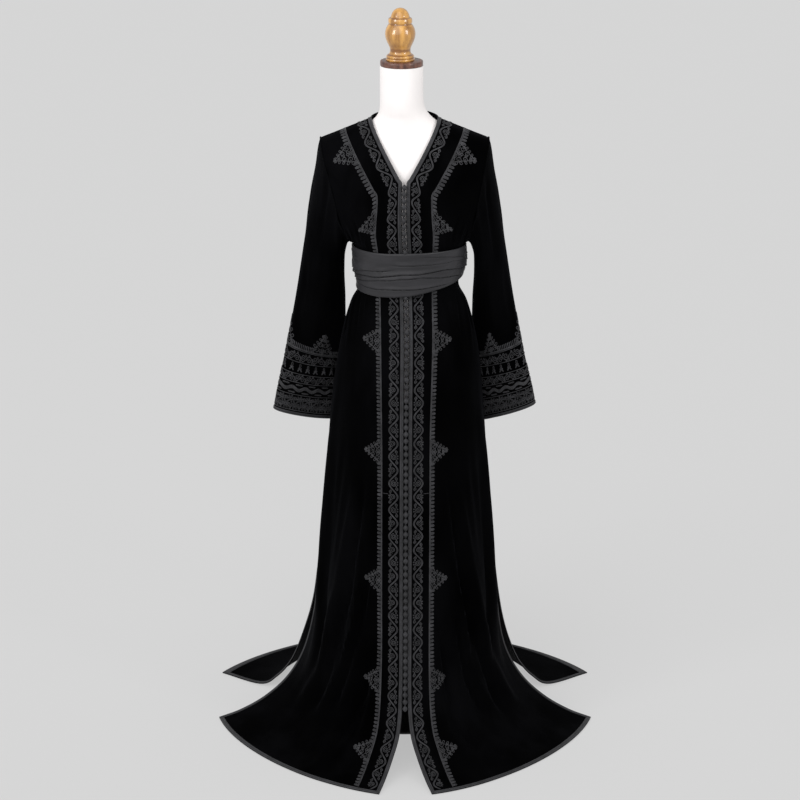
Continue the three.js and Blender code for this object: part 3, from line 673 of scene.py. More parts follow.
@dataclass(frozen=True)
class Pattern:
    """The garment's sections, worked out once as arrays of rows."""

    neck_half: float = 75
    neck_high: float = 1454
    neck_drop: float = 128
    neck_reach: float = 115
    neck_point: float = 5.2
    seam: float = 0.12
    back_reach: float = 50
    back_high: float = 1466
    back_share: float = 0.39
    arm_wide: float = 164.5
    arm_high: float = 1286
    arm_lean: float = 26.5
    arm_tall: float = 121
    arm_front: float = 78
    arm_back: float = 72

    @property
    def last(self) -> int:
        """The number of the hem's row."""
        return len(BODICE) + len(CHEST) + len(SKIRT) - 1

    @property
    def arm_rows(self) -> int:
        """How many rows end in the armhole."""
        return len(BODICE) + len(CHEST)

    @property
    def slit_row(self) -> int:
        """The row where the side seams end."""
        return self.arm_rows + [row[9] for row in SKIRT].index(SLIT_TOP)

    @property
    def sash_rows(self) -> tuple[int, int]:
        """The rows where the sash begins and ends."""
        return self.arm_rows, self.arm_rows + 2

    def neck_edge(self, s: float) -> tuple[float, float, float]:
        """A point of the V neck's edge, s from the shoulder to the bottom of the V.

        Args:
            s: share of the way down the V.

        Returns:
            The point's x, y and z.
        """
        wide = self.neck_half + (self.neck_point - self.neck_half) * s**1.12
        deep = -self.seam / 2 - self.neck_reach * math.sqrt(s)
        return wide, deep, self.neck_high - self.neck_drop * s

    def armhole(self, degrees: Array, front: Array | bool) -> Array:
        """Points of the armhole, from the shoulder tip, on the front or the back.

        Args:
            degrees: angles from the shoulder tip.
            front: whether each is on the front.

        Returns:
            The points.
        """
        a = np.radians(degrees)
        ahead = -self.arm_front * np.sin(a) - self.seam / 2
        behind = self.arm_back * np.sin(a) + self.seam / 2
        wide = self.arm_wide + self.arm_lean * np.cos(a)
        high = self.arm_high + self.arm_tall * np.cos(a)
        return np.stack([wide, np.where(front, ahead, behind), high], -1)

    @cached_property
    def front_start(self) -> Array:
        """The front's centre edge on every row."""
        vee = [self.neck_edge(row[0]) for row in BODICE]
        chest = [(self.neck_point, -row[1], row[0]) for row in CHEST]
        skirt = [(row[2], -row[1], row[0]) for row in SKIRT]
        return np.array([*vee, *chest, *skirt], float)

    @cached_property
    def back_start(self) -> Array:
        """The back's centre on every row."""
        rows = [(0, row[-1], row[-2]) for row in (*BODICE, *CHEST)]
        return np.array([*rows, *[(0, row[5], row[4]) for row in SKIRT]], float)

    def _side(self, front: bool) -> Array:
        """The side edge on every row.

        Args:
            front: True for the front's edge, False for the back's.

        Returns:
            The points.
        """
        angles = np.array([row[1] for row in BODICE] + [row[2] for row in CHEST], float)
        first = 7 if front else 10
        gap = -self.seam / 2 if front else self.seam / 2
        skirt = [(row[first], row[first + 1] + gap, row[first + 2]) for row in SKIRT]
        return np.concatenate([self.armhole(angles, front), np.array(skirt, float)])

    @cached_property
    def front_end(self) -> Array:
        """The front's side edge on every row."""
        return self._side(True)

    @cached_property
    def back_end(self) -> Array:
        """The back's side edge on every row."""
        return self._side(False)

    @cached_property
    def front_bow(self) -> Array:
        """The front's bow on every row."""
        return np.array([*[r[2] for r in BODICE], *[r[3] for r in CHEST], *[r[3] for r in SKIRT]])

    @cached_property
    def back_bow(self) -> Array:
        """The back's bow on every row."""
        return np.array([*[r[2] for r in BODICE], *[r[3] for r in CHEST], *[r[6] for r in SKIRT]])

    @staticmethod
    def sway(p: Array, on_sleeve: bool = False) -> Array:
        """Points moved by the garment's sideways hang.

        Args:
            p: the points.
            on_sleeve: keeps a sleeve's outer places where they are.

        Returns:
            The moved points.
        """
        high = np.array(SWAY_HIGH, float)
        j = np.clip(np.searchsorted(high, p[..., 2], side="right"), 1, len(high) - 1)
        share = smooth((p[..., 2] - high[j - 1]) / (high[j] - high[j - 1]), 0, 1)
        tables = np.array([SWAY_CLOSING, SWAY_SIDE, SWAY_WIDE], float)
        closing, side, wide = tables[:, j - 1] + (tables[:, j] - tables[:, j - 1]) * share
        far = np.abs(p[..., 0])
        near = closing + (side - closing) * smooth(far, *SWAY_REACH[:2])
        wide = 0 if on_sleeve else wide
        moved = p.copy()
        moved[..., 0] += near + (wide - near) * smooth(far, *SWAY_REACH[2:])
        if on_sleeve:
            slope, about, low, high = CUFF_HANG
            cuff = (p[..., 0] > 0) * (1 - smooth(p[..., 2], low, high))
            moved[..., 2] += cuff * slope * (p[..., 0] - about)
        return moved

    def front(self, side: int, u: Array, t: Array) -> Array:
        """Points of a front.

        Args:
            side: -1 or 1.
            u: share from the centre edge to the side edge.
            t: places, in rows.

        Returns:
            The points.
        """
        def row(k: Array) -> Array:
            """The points of the rows k."""
            return arc(self.front_start[k], self.front_end[k], self.front_bow[k], u)

        p = through(row, self.last, t)
        p[..., 0] *= side
        return self.sway(p)

    def back_top(self, u: Array) -> Array:
        """The back's top edge: round the neck, then along the shoulder seam.

        Args:
            u: shares from the centre to the shoulder tip.

        Returns:
            The points.
        """
        start = np.broadcast_to(np.array([0, self.back_reach, self.back_high], float), (*u.shape, 3))
        corner = np.broadcast_to(np.array([self.neck_half, self.seam / 2, self.neck_high]), start.shape)
        round_neck = arc(start, corner, np.ones_like(u), np.clip(u / self.back_share, 0, 1))
        tip = self.armhole(np.zeros_like(u), False)
        share = np.clip((u - self.back_share) / (1 - self.back_share), 0, 1)[..., None]
        return np.where((u <= self.back_share)[..., None], round_neck, corner + (tip - corner) * share)

    def back(self, u: Array, t: Array) -> Array:
        """Points of the back, u from -1 at its left side edge to 1 at its right.

        Args:
            u: shares across.
            t: places, in rows.

        Returns:
            The points.
        """
        across = np.abs(u)

        def row(k: Array) -> Array:
            """The points of the rows k."""
            points = arc(self.back_start[k], self.back_end[k], self.back_bow[k], across, level=True)
            return np.where((k == 0)[..., None], self.back_top(across), points)

        p = through(row, self.last, t)
        p[..., 0] *= np.sign(u)
        return self.sway(p)


PATTERN = Pattern()


# ---------------------------------------------------------------- cloth grids and meshes
@dataclass
class Cloth:
    """A grid of points with outward normals, its rows running down and its columns across.

    Attributes:
        points: rows by columns of points.
        inside: a point behind the outside of the cloth's middle.
        closed: whether the last column joins the first.
    """

    points: Array
    inside: Sequence[float] = (0, 0, 600)
    closed: bool = False

    @cached_property
    def normals(self) -> Array:
        """The outward normal of every point."""
        if self.closed:
            across = np.roll(self.points, -1, 1) - np.roll(self.points, 1, 1)
        else:
            across = np.gradient(self.points, axis=1)
        normals = unit(np.cross(across, np.gradient(self.points, axis=0)))
        i, j = self.points.shape[0] // 2, self.points.shape[1] // 2
        turn = np.sign(np.dot(normals[i, j], self.points[i, j] - np.array(self.inside, float)))
        return normals * turn

    @cached_property
    def across(self) -> Array:
        """How far across the cloth every point lies."""
        steps = np.linalg.norm(np.diff(self.points, axis=1), axis=2)
        return np.concatenate([np.zeros((len(steps), 1)), np.cumsum(steps, axis=1)], 1)

    @cached_property
    def down(self) -> Array:
        """How far down the cloth every point lies."""
        steps = np.linalg.norm(np.diff(self.points, axis=0), axis=2)
        return np.concatenate([np.zeros((1, steps.shape[1])), np.cumsum(steps, axis=0)], 0)

    def size(self) -> tuple[float, float]:
        """The width and length that the cloth is cut to, in metres.

        Returns:
            The width and the length.
        """
        wide = self.across[:, -1]
        if self.closed:
            wide = wide + np.linalg.norm(self.points[:, -1] - self.points[:, 0], axis=1)
        return float(wide.max()) * MM, float(self.down[-1].max()) * MM

    def declare(self, piece: bpy.types.Object, held: str, rests_on: Sequence[str],
                trims: Sequence[bpy.types.Object] = ()) -> None:
        """Works out the size the cloth was cut to and its area, and keeps neither.

        Args:
            piece: the sheet; not used.
            held: the way it is held; not used.
            rests_on: what it lies on or hangs from; not used.
            trims: the pieces sewn on it; not used.
        """
        self.size()
        self.area()

    def area(self) -> float:
        """The cloth's area on one side, in square metres.

        Returns:
            The area.
        """
        p = np.concatenate([self.points, self.points[:, :1]], 1) if self.closed else self.points
        one = np.cross(p[1:, :-1] - p[:-1, :-1], p[:-1, 1:] - p[:-1, :-1])
        two = np.cross(p[1:, 1:] - p[1:, :-1], p[1:, 1:] - p[:-1, 1:])
        return float((np.linalg.norm(one, axis=2) + np.linalg.norm(two, axis=2)).sum() / 2 * MM * MM)

    def on(self, i: Array, j: Array, lift: Array | float = 0.0) -> tuple[Array, Array]:
        """Points over the cloth.

        Args:
            i: places in rows.
            j: places in columns.
            lift: how far out from the cloth.

        Returns:
            The points and their outward normals.
        """
        rows, columns = self.points.shape[:2]
        i = np.clip(np.asarray(i, float), 0, rows - 1)
        top = np.minimum(i.astype(int), rows - 2)
        j = np.asarray(j, float)
        if self.closed:
            left = np.floor(j).astype(int) % columns
            right = (left + 1) % columns
            aside = (j - np.floor(j))[..., None]
        else:
            j = np.clip(j, 0, columns - 1)
            left = np.minimum(j.astype(int), columns - 2)
            right = left + 1
            aside = (j - left)[..., None]
        low = (i - top)[..., None]

        def mixed(grid: Array) -> Array:
            """A grid's values between its points.

            Args:
                grid: values at the cloth's points.

            Returns:
                The values at the places.
            """
            upper = grid[top, left] * (1 - aside) + grid[top, right] * aside
            lower = grid[top + 1, left] * (1 - aside) + grid[top + 1, right] * aside
            return upper * (1 - low) + lower * low

        normals = unit(mixed(self.normals))
        return mixed(self.points) + normals * np.asarray(lift, float)[..., None], normals

    def body(self, name: str, thick: float, finish: bpy.types.Material, node: str,
             slot: str) -> bpy.types.Object:
        """The thin closed piece behind this outside.

        Args:
            name: the piece's name.
            thick: its wall.
            finish: its material.
            node: the CAD node that it stands for.
            slot: the record's material slot.

        Returns:
            The object.
        """
        mesh = Mesh()
        points, faces = shell(self, thick)
        mesh.add(points, faces, *[np.stack([x, x]) for x in (self.across, self.down)])
        return mesh.build(name, finish, [node], slot)

    def bound(self, path: Sequence[tuple[int, int, int, int]], finish: bpy.types.Material,
              node: str) -> bpy.types.Object:
        """The braid along a path on this cloth.

        Args:
            path: rows and columns of its outer edge's points and of its inner edge's.
            finish: its material.
            node: the CAD node that it stands for.

        Returns:
            The object.
        """
        a, b, c, d = np.array(path).T
        out = unit(self.normals[a, b] + self.normals[c, d])
        mesh = Mesh()
        mesh.add(*ribbon(self.points[a, b], self.points[c, d], out, BRAID_THICK))
        return mesh.build(f"silk_{node}", finish, [node], "braid")

    def moved(self, height: Array) -> Cloth:
        """The cloth with every point moved out by a height."""
        points = self.points + self.normals * height[..., None]
        return Cloth(points, self.inside, self.closed)


@dataclass
class Mesh:
    """Points, faces and lay of a mesh while it is put together."""

    points: list[Array] = field(default_factory=list)
    lays: list[Array] = field(default_factory=list)
    faces: list[Array] = field(default_factory=list)
    count: int = 0

    def add(self, points: Array, faces: Sequence[Array], across: Array, along: Array) -> None:
        """Adds one body.

        Args:
            points: its points.
            faces: arrays of its faces, by their own point numbers.
            across: how far across each point lies.
            along: how far along each point lies.
        """
        self.points.append(points.reshape(-1, 3))
        lay = np.stack([across.ravel(), along.ravel(), np.zeros(across.size)], 1)
        self.lays.append(lay)
        self.faces.extend(f + self.count for f in faces)
        self.count += len(self.points[-1])

    def build(self, name: str, finish: bpy.types.Material, replaces: Sequence[str], slot: str,
              sharp: float = 50.0) -> bpy.types.Object:
        """Makes the object, on its body and in place of its nodes.

        Args:
            name: the object's name.
            finish: its material.
            replaces: the CAD nodes that it stands for.
            slot: the record's material slot, which is not used.
            sharp: angle over which an edge stays sharp, in degrees.

        Returns:
            The object.
        """
        points = np.concatenate(self.points)
        mesh = bpy.data.meshes.new(name)
        mesh.vertices.add(len(points))
        mesh.vertices.foreach_set("co", (points * MM).astype(np.float32).ravel())
        corners = np.concatenate([f.ravel() for f in self.faces]).astype(np.int32)
        sizes = np.concatenate([np.full(len(f), f.shape[1]) for f in self.faces])
        mesh.loops.add(len(corners))
        mesh.loops.foreach_set("vertex_index", corners)
        mesh.polygons.add(len(sizes))
        mesh.polygons.foreach_set("loop_start", (np.cumsum(sizes) - sizes).astype(np.int32))
        mesh.update(calc_edges=True)
        lay = mesh.attributes.new("lay", "FLOAT_VECTOR", "POINT")
        lay.data.foreach_set("vector", (np.concatenate(self.lays) * MM).astype(np.float32).ravel())
        mesh.polygons.foreach_set("use_smooth", np.ones(len(sizes), bool))
        mesh.set_sharp_from_angle(angle=math.radians(sharp))
        mesh.materials.append(finish)
        made = bpy.data.objects.new(name, mesh)
        bpy.context.scene.collection.objects.link(made)
        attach(made, "root")
        if replaces:
            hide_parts(*replaces)
        LOG.info("%s: %d triangles", name, int((sizes - 2).sum()))
        return made


def grid_faces(rows: int, columns: int, closed: bool = False) -> Array:
    """Quads between a grid's points.

    Args:
        rows: its rows.
        columns: its columns.
        closed: whether the last column joins the first.

    Returns:
        The faces.
    """
    i, j = np.meshgrid(np.arange(rows - 1), np.arange(columns if closed else columns - 1), indexing="ij")
    beside = (j + 1) % columns
    ring = [i * columns + j, (i + 1) * columns + j, (i + 1) * columns + beside, i * columns + beside]
    return np.stack(ring, -1).reshape(-1, 4)


def capped(rows: int, columns: int) -> list[Array]:
    """Faces of a closed grid whose first and last rows are filled in.

    Args:
        rows: the grid's rows.
        columns: the grid's columns.

    Returns:
        The faces.
    """
    numbers = np.arange(rows * columns).reshape(rows, columns)
    return [grid_faces(rows, columns, True), numbers[:1], numbers[-1:, ::-1]]


def facing_out(points: Array, faces: list[Array]) -> list[Array]:
    """Faces turned so that the body they close has a positive volume.

    Args:
        points: the body's points.
        faces: arrays of its faces.

    Returns:
        The faces, all of them turned or none.
    """
    flat = points.reshape(-1, 3)
    flat = flat - flat.mean(0)
    volume = 0.0
    for f in faces:
        for k in range(1, f.shape[1] - 1):
            a, b, c = flat[f[:, 0]], flat[f[:, k]], flat[f[:, k + 1]]
            volume += float(np.einsum("ij,ij->", a, np.cross(b, c)))
    return faces if volume > 0 else [f[:, ::-1] for f in faces]


def shell(cloth: Cloth, thick: float) -> tuple[Array, list[Array]]:
    """A thin closed body behind a cloth's outside.

    Args:
        cloth: the outside.
        thick: the wall.

    Returns:
        Its points and faces.
    """
    rows, columns = cloth.points.shape[:2]
    points = np.stack([cloth.points, cloth.points - cloth.normals * thick])
    outer = grid_faces(rows, columns, cloth.closed)
    inner = outer[:, ::-1] + rows * columns
    number = np.arange(rows * columns).reshape(rows, columns)
    rims = [number[0], number[-1][::-1]]
    if cloth.closed:
        rims = [np.append(number[0], number[0, 0]), np.append(number[-1, 0], number[-1][::-1])]
    else:
        rims += [number[::-1, 0], number[:, -1]]
    faces = [outer, inner]
    for rim in rims:
        a, b = rim[:-1], rim[1:]
        faces.append(np.stack([a, b, b + rows * columns, a + rows * columns], 1))
    return points, facing_out(points, faces)


def tube(centres: Array, out: Array, wide: Array | float, high: Array | float, sides: int = 5,
         closed: bool = False) -> tuple[Array, list[Array], Array, Array]:
    """A cord swept along a line that lies on cloth.

    Args:
        centres: the line's points.
        out: the outward normal at each.
        wide: half its width.
        high: half its height.
        sides: how many sides it has.
        closed: whether it joins up.

    Returns:
        Its points, faces, and how far round and along each point lies.
    """
    count = len(centres)
    if closed:
        ahead = np.roll(centres, -1, 0) - np.roll(centres, 1, 0)
    else:
        ahead = np.gradient(centres, axis=0)
    beside = unit(np.cross(unit(ahead), out))
    turn = np.linspace(0, 2 * np.pi, sides, endpoint=False) + np.pi / 2
    wide = np.broadcast_to(np.asarray(wide, float), count)[:, None, None]
    high = np.broadcast_to(np.asarray(high, float), count)[:, None, None]
    ring = beside[:, None] * np.cos(turn)[None, :, None] * wide
    points = centres[:, None] + ring + out[:, None] * np.sin(turn)[None, :, None] * high
    numbers = np.arange(count * sides).reshape(count, sides)
    if closed:
        after = np.roll(numbers, -1, 0)
    else:
        after, numbers = numbers[1:], numbers[:-1]
    ring = [numbers, after, np.roll(after, -1, 1), np.roll(numbers, -1, 1)]
    faces = [np.stack(ring, -1).reshape(-1, 4)]
    if not closed:
        last = (count - 1) * sides
        faces.append(np.arange(sides)[None])
        faces.append(np.arange(sides)[None, ::-1] + last)
    run = travelled(centres)
    across = np.broadcast_to(np.cos(turn)[None], (count, sides)) * wide[:, :, 0]
    along = np.broadcast_to(run[:, None], (count, sides))
    return points, faces, across, along


def ribbon(outer: Array, inner: Array, out: Array, thick: float, lift: float = 0.25, ribs: int = 9,
           closed: bool = False) -> tuple[Array, list[Array], Array, Array]:
    """A flat braid with a rounded back that lies on cloth, between two lines.

    Args:
        outer: one edge's points.
        inner: the other edge's points.
        out: the outward normal at each place.
        thick: how far its middle stands over the cloth.
        lift: the gap under it.
        ribs: points across its back.
        closed: whether it joins up.

    Returns:
        Its points, faces, and how far across and along each point lies.
    """
    share = np.linspace(0, 1, ribs)
    ridge = 0.72 + 0.28 * np.cos(4 * np.pi * share + np.pi)
    crown = lift + thick * (1 - np.abs(2 * share - 1) ** 6) ** 0.5 * ridge
    share = np.concatenate([share, [0.97, 0.03]])
    crown = np.concatenate([crown, [lift * 0.4, lift * 0.4]])
    points = outer[:, None] + (inner - outer)[:, None] * share[None, :, None]
    points = points + out[:, None] * crown[None, :, None]
    count, sides = len(outer), len(share)
    numbers = np.arange(count * sides).reshape(count, sides)
    if closed:
        after = np.roll(numbers, -1, 0)
    else:
        after, numbers = numbers[1:], numbers[:-1]
    ring = [numbers, np.roll(numbers, -1, 1), np.roll(after, -1, 1), after]
    faces = [np.stack(ring, -1).reshape(-1, 4)]
    if not closed:
        faces.append(np.arange(sides)[None, ::-1])
        faces.append(np.arange(sides)[None] + (count - 1) * sides)
    run = travelled(outer)
    width = np.linalg.norm(inner - outer, axis=1)[:, None]
    across = (share[None] - 0.5) * width
    along = np.broadcast_to(run[:, None], across.shape)
    return points, facing_out(points, faces), across, along


# ---------------------------------------------------------------- creases
@dataclass(frozen=True)
class Crease:
    """A soft ridge or trough placed one by one.

    Attributes:
        places: its line, as heights and distances across, from the top down.
        depth: how far it stands out; a trough's is below 0.
        wide: half its width at its top and at its foot.
        fade: how much of its length it takes to grow and to die away.
    """

    places: tuple[tuple[float, float], ...]
    depth: float
    wide: tuple[float, float] = (16, 24)
    fade: tuple[float, float] = (0.35, 0.2)

    def height(self, high: Array, across: Array) -> Array:
        """How far it moves the cloth out at each point.

        Args:
            high: the points' heights.
            across: the points' distances across.

        Returns:
            The heights of the crease.
        """
        line = np.array(self.places, float)[::-1]
        middle = np.interp(high, line[:, 0], line[:, 1])
        share = (line[-1, 0] - high) / (line[-1, 0] - line[0, 0])
        wide = self.wide[0] + (self.wide[1] - self.wide[0]) * np.clip(share, 0, 1)
        grown = smooth(share, 0, self.fade[0]) * (1 - smooth(share, 1 - self.fade[1], 1))
        return self.depth * grown * bulge((across - middle) / wide)


def creased(creases: Iterable[Crease], high: Array, across: Array) -> Array:
    """The sum of many creases.

    Args:
        creases: the creases.
        high: the points' heights.
        across: the points' distances across.

    Returns:
        How far each point stands out.
    """
    total = np.zeros_like(high)
    for crease in creases:
        total += crease.height(high, across)
    return total


def long_folds(folds: Sequence[tuple[float, float, float, float, float]], across: Array,
               high: Array) -> Array:
    """The skirt's main folds.

    Args:
        folds: each one's place across, the heights where it begins and ends, its depth and half width.
        across: the points' shares across.
        high: the points' heights.

    Returns:
        How far each point stands out.
    """
    total = np.zeros_like(high)
    for place, begin, end, depth, wide in folds:
        grown = 1 - smooth(high, begin + (end - begin) * 0.6, begin)
        left = smooth(high, end, end + (begin - end) * 0.25)
        off = (across - place) / wide
        total += depth * grown * left * np.clip(1 - off * off, 0, None) ** 1.25
    return total


def spread(p: Array, far: Array) -> Array:
    """Points moved straight away from the form's middle.

    Args:
        p: the points.
        far: how far each of them moves.

    Returns:
        The moved points.
    """
    flat = p.copy()
    flat[..., 2] = 0
    return p + unit(flat) * far[..., None]


# ---------------------------------------------------------------- panels of the caftan
CLOTH = 2.0
BRAID_WIDE = 9.0
BRAID_THICK = 1.8
HEM_INSET = (3.0, 6.0, BRAID_WIDE, 12.0)
SIDE_INSET = (6.0, 3.0, 0.0)
SAMPLES = 240


@dataclass(frozen=True)
class Lines:
    """Lines down each front, as distances from its centre edge."""

    band_from: float = 12
    band_to: float = 35
    comb_from: float = 50.5
    comb_to: float = 59.5
    tip: float = 97
    tip_share: float = 0.74
    heights: tuple[float, ...] = (60, 300, 700, 1000, 1150, 1230)
    shares: tuple[float, ...] = (1.05, 0.98, 0.98, 1.07, 1.14, 1.24)

    def spread(self, far: Array, high: float) -> Array:
        """How far the lines lie from the centre edge at a height.

        Args:
            far: the lines' usual distances.
            high: the height.

        Returns:
            The distances at that height.
        """
        steps = np.array(self.heights, float)
        j = int(np.clip(np.searchsorted(steps, high, side="right"), 1, len(steps) - 1))
        part = float(smooth(high, steps[j - 1], steps[j]))
        share = self.shares[j - 1] + (self.shares[j] - self.shares[j - 1]) * part
        return np.where(far <= self.band_to, far, far * share)


LINES = Lines()


def panel_rows(line: Callable[[Array], Array], step: float) -> Array:
    """The places of a panel's rows, with the sash's, the slit's and the hem's among them.

    Args:
        line: a line down the panel, by place.
        step: the wanted step.

    Returns:
        The places, from the top down.
    """
    kept = [0.0, *PATTERN.sash_rows, PATTERN.slit_row, PATTERN.last, *[-x for x in HEM_INSET]]
    return even_rows(line, PATTERN.last, step, kept)


def even_rows(line: Callable[[Array], Array], last: int, step: float, kept: Sequence[float]) -> Array:
    """Places down a line at even steps, with the places that must be among them.

    Args:
        line: the line's points by place.
        last: its last place.
        step: the wanted step.
        kept: places to keep; distances up from the hem are below 0.

    Returns:
        The places, from the top down.
    """
    places = np.linspace(0, last, 3001)
    run = travelled(line(places))
    even = np.interp(np.linspace(0, run[-1], round(run[-1] / step) + 1), run, places)
    fixed = [k if k >= 0 else float(np.interp(run[-1] + k, run, places)) for k in kept]
    far = np.abs(even[:, None] - np.array(fixed)[None]).min(1)
    near = np.interp(even, places, np.gradient(places, run)) * step * 0.4
    return np.unique(np.concatenate([even[far > near], fixed]))


LEFT_CREASES = (
    Crease(((660, 92), (373, 143), (168, 222), (60, 276)), -13, (9, 26), (0.25, 0.1)),
    Crease(((650, 122), (373, 176), (168, 262), (60, 320)), 12, (16, 34), (0.3, 0.1)),
    Crease(((470, 74), (295, 109), (209, 143), (80, 210)), -9, (8, 18), (0.3, 0.12)),
    Crease(((480, 96), (295, 128), (209, 168), (80, 238)), 8, (10, 20), (0.3, 0.12)),
    Crease(((230, 84), (160, 93), (99, 127), (30, 160)), -8, (8, 17), (0.3, 0.15)),
    Crease(((250, 62), (150, 74), (60, 98)), 7, (10, 20), (0.35, 0.1)),
    Crease(((1056, 172), (1010, 178), (930, 188)), -4, (5, 9), (0.05, 0.5)),
    Crease(((1054, 150), (1000, 154), (900, 168)), 3.5, (6, 13), (0.1, 0.6)),
    Crease(((1054, 124), (1010, 125), (950, 128)), -3, (4, 8), (0.1, 0.6)),
    Crease(((1050, 98), (1015, 98), (975, 99)), 2.4, (5, 9), (0.1, 0.6)),
    Crease(((900, 190), (700, 236), (420, 262), (180, 312)), 6, (20, 36), (0.4, 0.3)),
    Crease(((760, 150), (560, 190), (330, 232)), -5, (16, 26), (0.4, 0.4)),
    Crease(((1250, 150), (1215, 128), (1172, 112)), -3.5, (9, 7), (0.4, 0.1)),
    Crease(((1235, 176), (1205, 156), (1170, 138)), 3, (9, 8), (0.4, 0.1)),
    Crease(((1215, 182), (1190, 168), (1168, 156)), -3, (7, 6), (0.35, 0.1)),
    Crease(((1196, 96), (1180, 94), (1166, 92)), 2, (5, 5), (0.4, 0.1)),
    Crease(((1370, 150), (1330, 138), (1285, 132)), -2.2, (9, 12), (0.4, 0.4)),
)
RIGHT_CREASES = (
    Crease(((670, 92), (421, 136), (295, 165), (151, 248), (50, 292)), -13, (9, 25), (0.25, 0.1)),
    Crease(((650, 124), (421, 168), (295, 204), (151, 290), (50, 338)), 12, (16, 34), (0.3, 0.1)),
    Crease(((440, 100), (346, 113), (256, 132), (172, 161), (70, 226)), -9, (8, 18), (0.3, 0.12)),
    Crease(((430, 122), (256, 156), (172, 188), (70, 256)), 8, (10, 20), (0.3, 0.12)),
    Crease(((310, 74), (181, 100), (101, 119), (20, 156)), -9, (8, 17), (0.3, 0.12)),
    Crease(((280, 60), (150, 76), (50, 98)), 7, (10, 20), (0.35, 0.1)),
    Crease(((1056, 178), (1000, 190), (940, 200)), -4, (5, 10), (0.05, 0.5)),
    Crease(((1052, 160), (1000, 168), (880, 186)), 3.5, (6, 14), (0.1, 0.6)),
    Crease(((1052, 132), (1005, 134), (940, 139)), -3, (4, 8), (0.1, 0.6)),
    Crease(((1050, 104), (1012, 105), (980, 106)), 2.4, (5, 8), (0.1, 0.6)),
    Crease(((880, 200), (680, 240), (400, 270), (170, 330)), 6, (20, 36), (0.4, 0.3)),
    Crease(((740, 158), (560, 190), (350, 220)), -5, (16, 24), (0.4, 0.4)),
    Crease(((1262, 158), (1220, 132), (1174, 110)), -3.5, (9, 7), (0.4, 0.1)),
    Crease(((1240, 180), (1208, 160), (1170, 134)), 3, (9, 8), (0.4, 0.1)),
    Crease(((1212, 186), (1188, 172), (1168, 162)), -3, (7, 6), (0.35, 0.1)),
    Crease(((1198, 90), (1182, 88), (1166, 87)), 2, (5, 5), (0.4, 0.1)),
    Crease(((1365, 146), (1325, 138), (1290, 130)), -2.2, (9, 12), (0.4, 0.4)),
)
BACK_CREASES = (
    Crease(((700, 30), (420, 52), (160, 96), (40, 120)), -12, (10, 26), (0.25, 0.1)),
    Crease(((650, -44), (400, -70), (140, -118), (40, -140)), -13, (10, 28), (0.25, 0.1)),
    Crease(((600, 112), (380, 150), (150, 224), (60, 262)), 11, (14, 32), (0.3, 0.12)),
    Crease(((640, -122), (360, -170), (150, -246), (60, -280)), 10, (14, 32), (0.3, 0.12)),
    Crease(((520, 160), (330, 196), (140, 276)), -9, (10, 22), (0.3, 0.15)),
    Crease(((540, -168), (330, -206), (140, -290)), -10, (10, 24), (0.3, 0.15)),
    Crease(((1054, 40), (1000, 44), (910, 52)), -3.5, (5, 10), (0.05, 0.5)),
    Crease(((1054, -52), (1010, -56), (930, -64)), 3.5, (5, 10), (0.1, 0.5)),
    Crease(((1054, -100), (1000, -110), (920, -122)), -3.5, (5, 10), (0.1, 0.5)),
    Crease(((1054, 96), (1008, 104), (930, 116)), 3.2, (5, 10), (0.1, 0.5)),
    Crease(((1240, 128), (1205, 104), (1170, 84)), -3.5, (9, 7), (0.4, 0.1)),
    Crease(((1236, -132), (1200, -106), (1170, -88)), -3.5, (9, 7), (0.4, 0.1)),
    Crease(((1205, 30), (1185, 28), (1166, 26)), 2.6, (7, 6), (0.4, 0.1)),
    Crease(((1208, -36), (1186, -34), (1166, -30)), -2.6, (7, 6), (0.4, 0.1)),
)


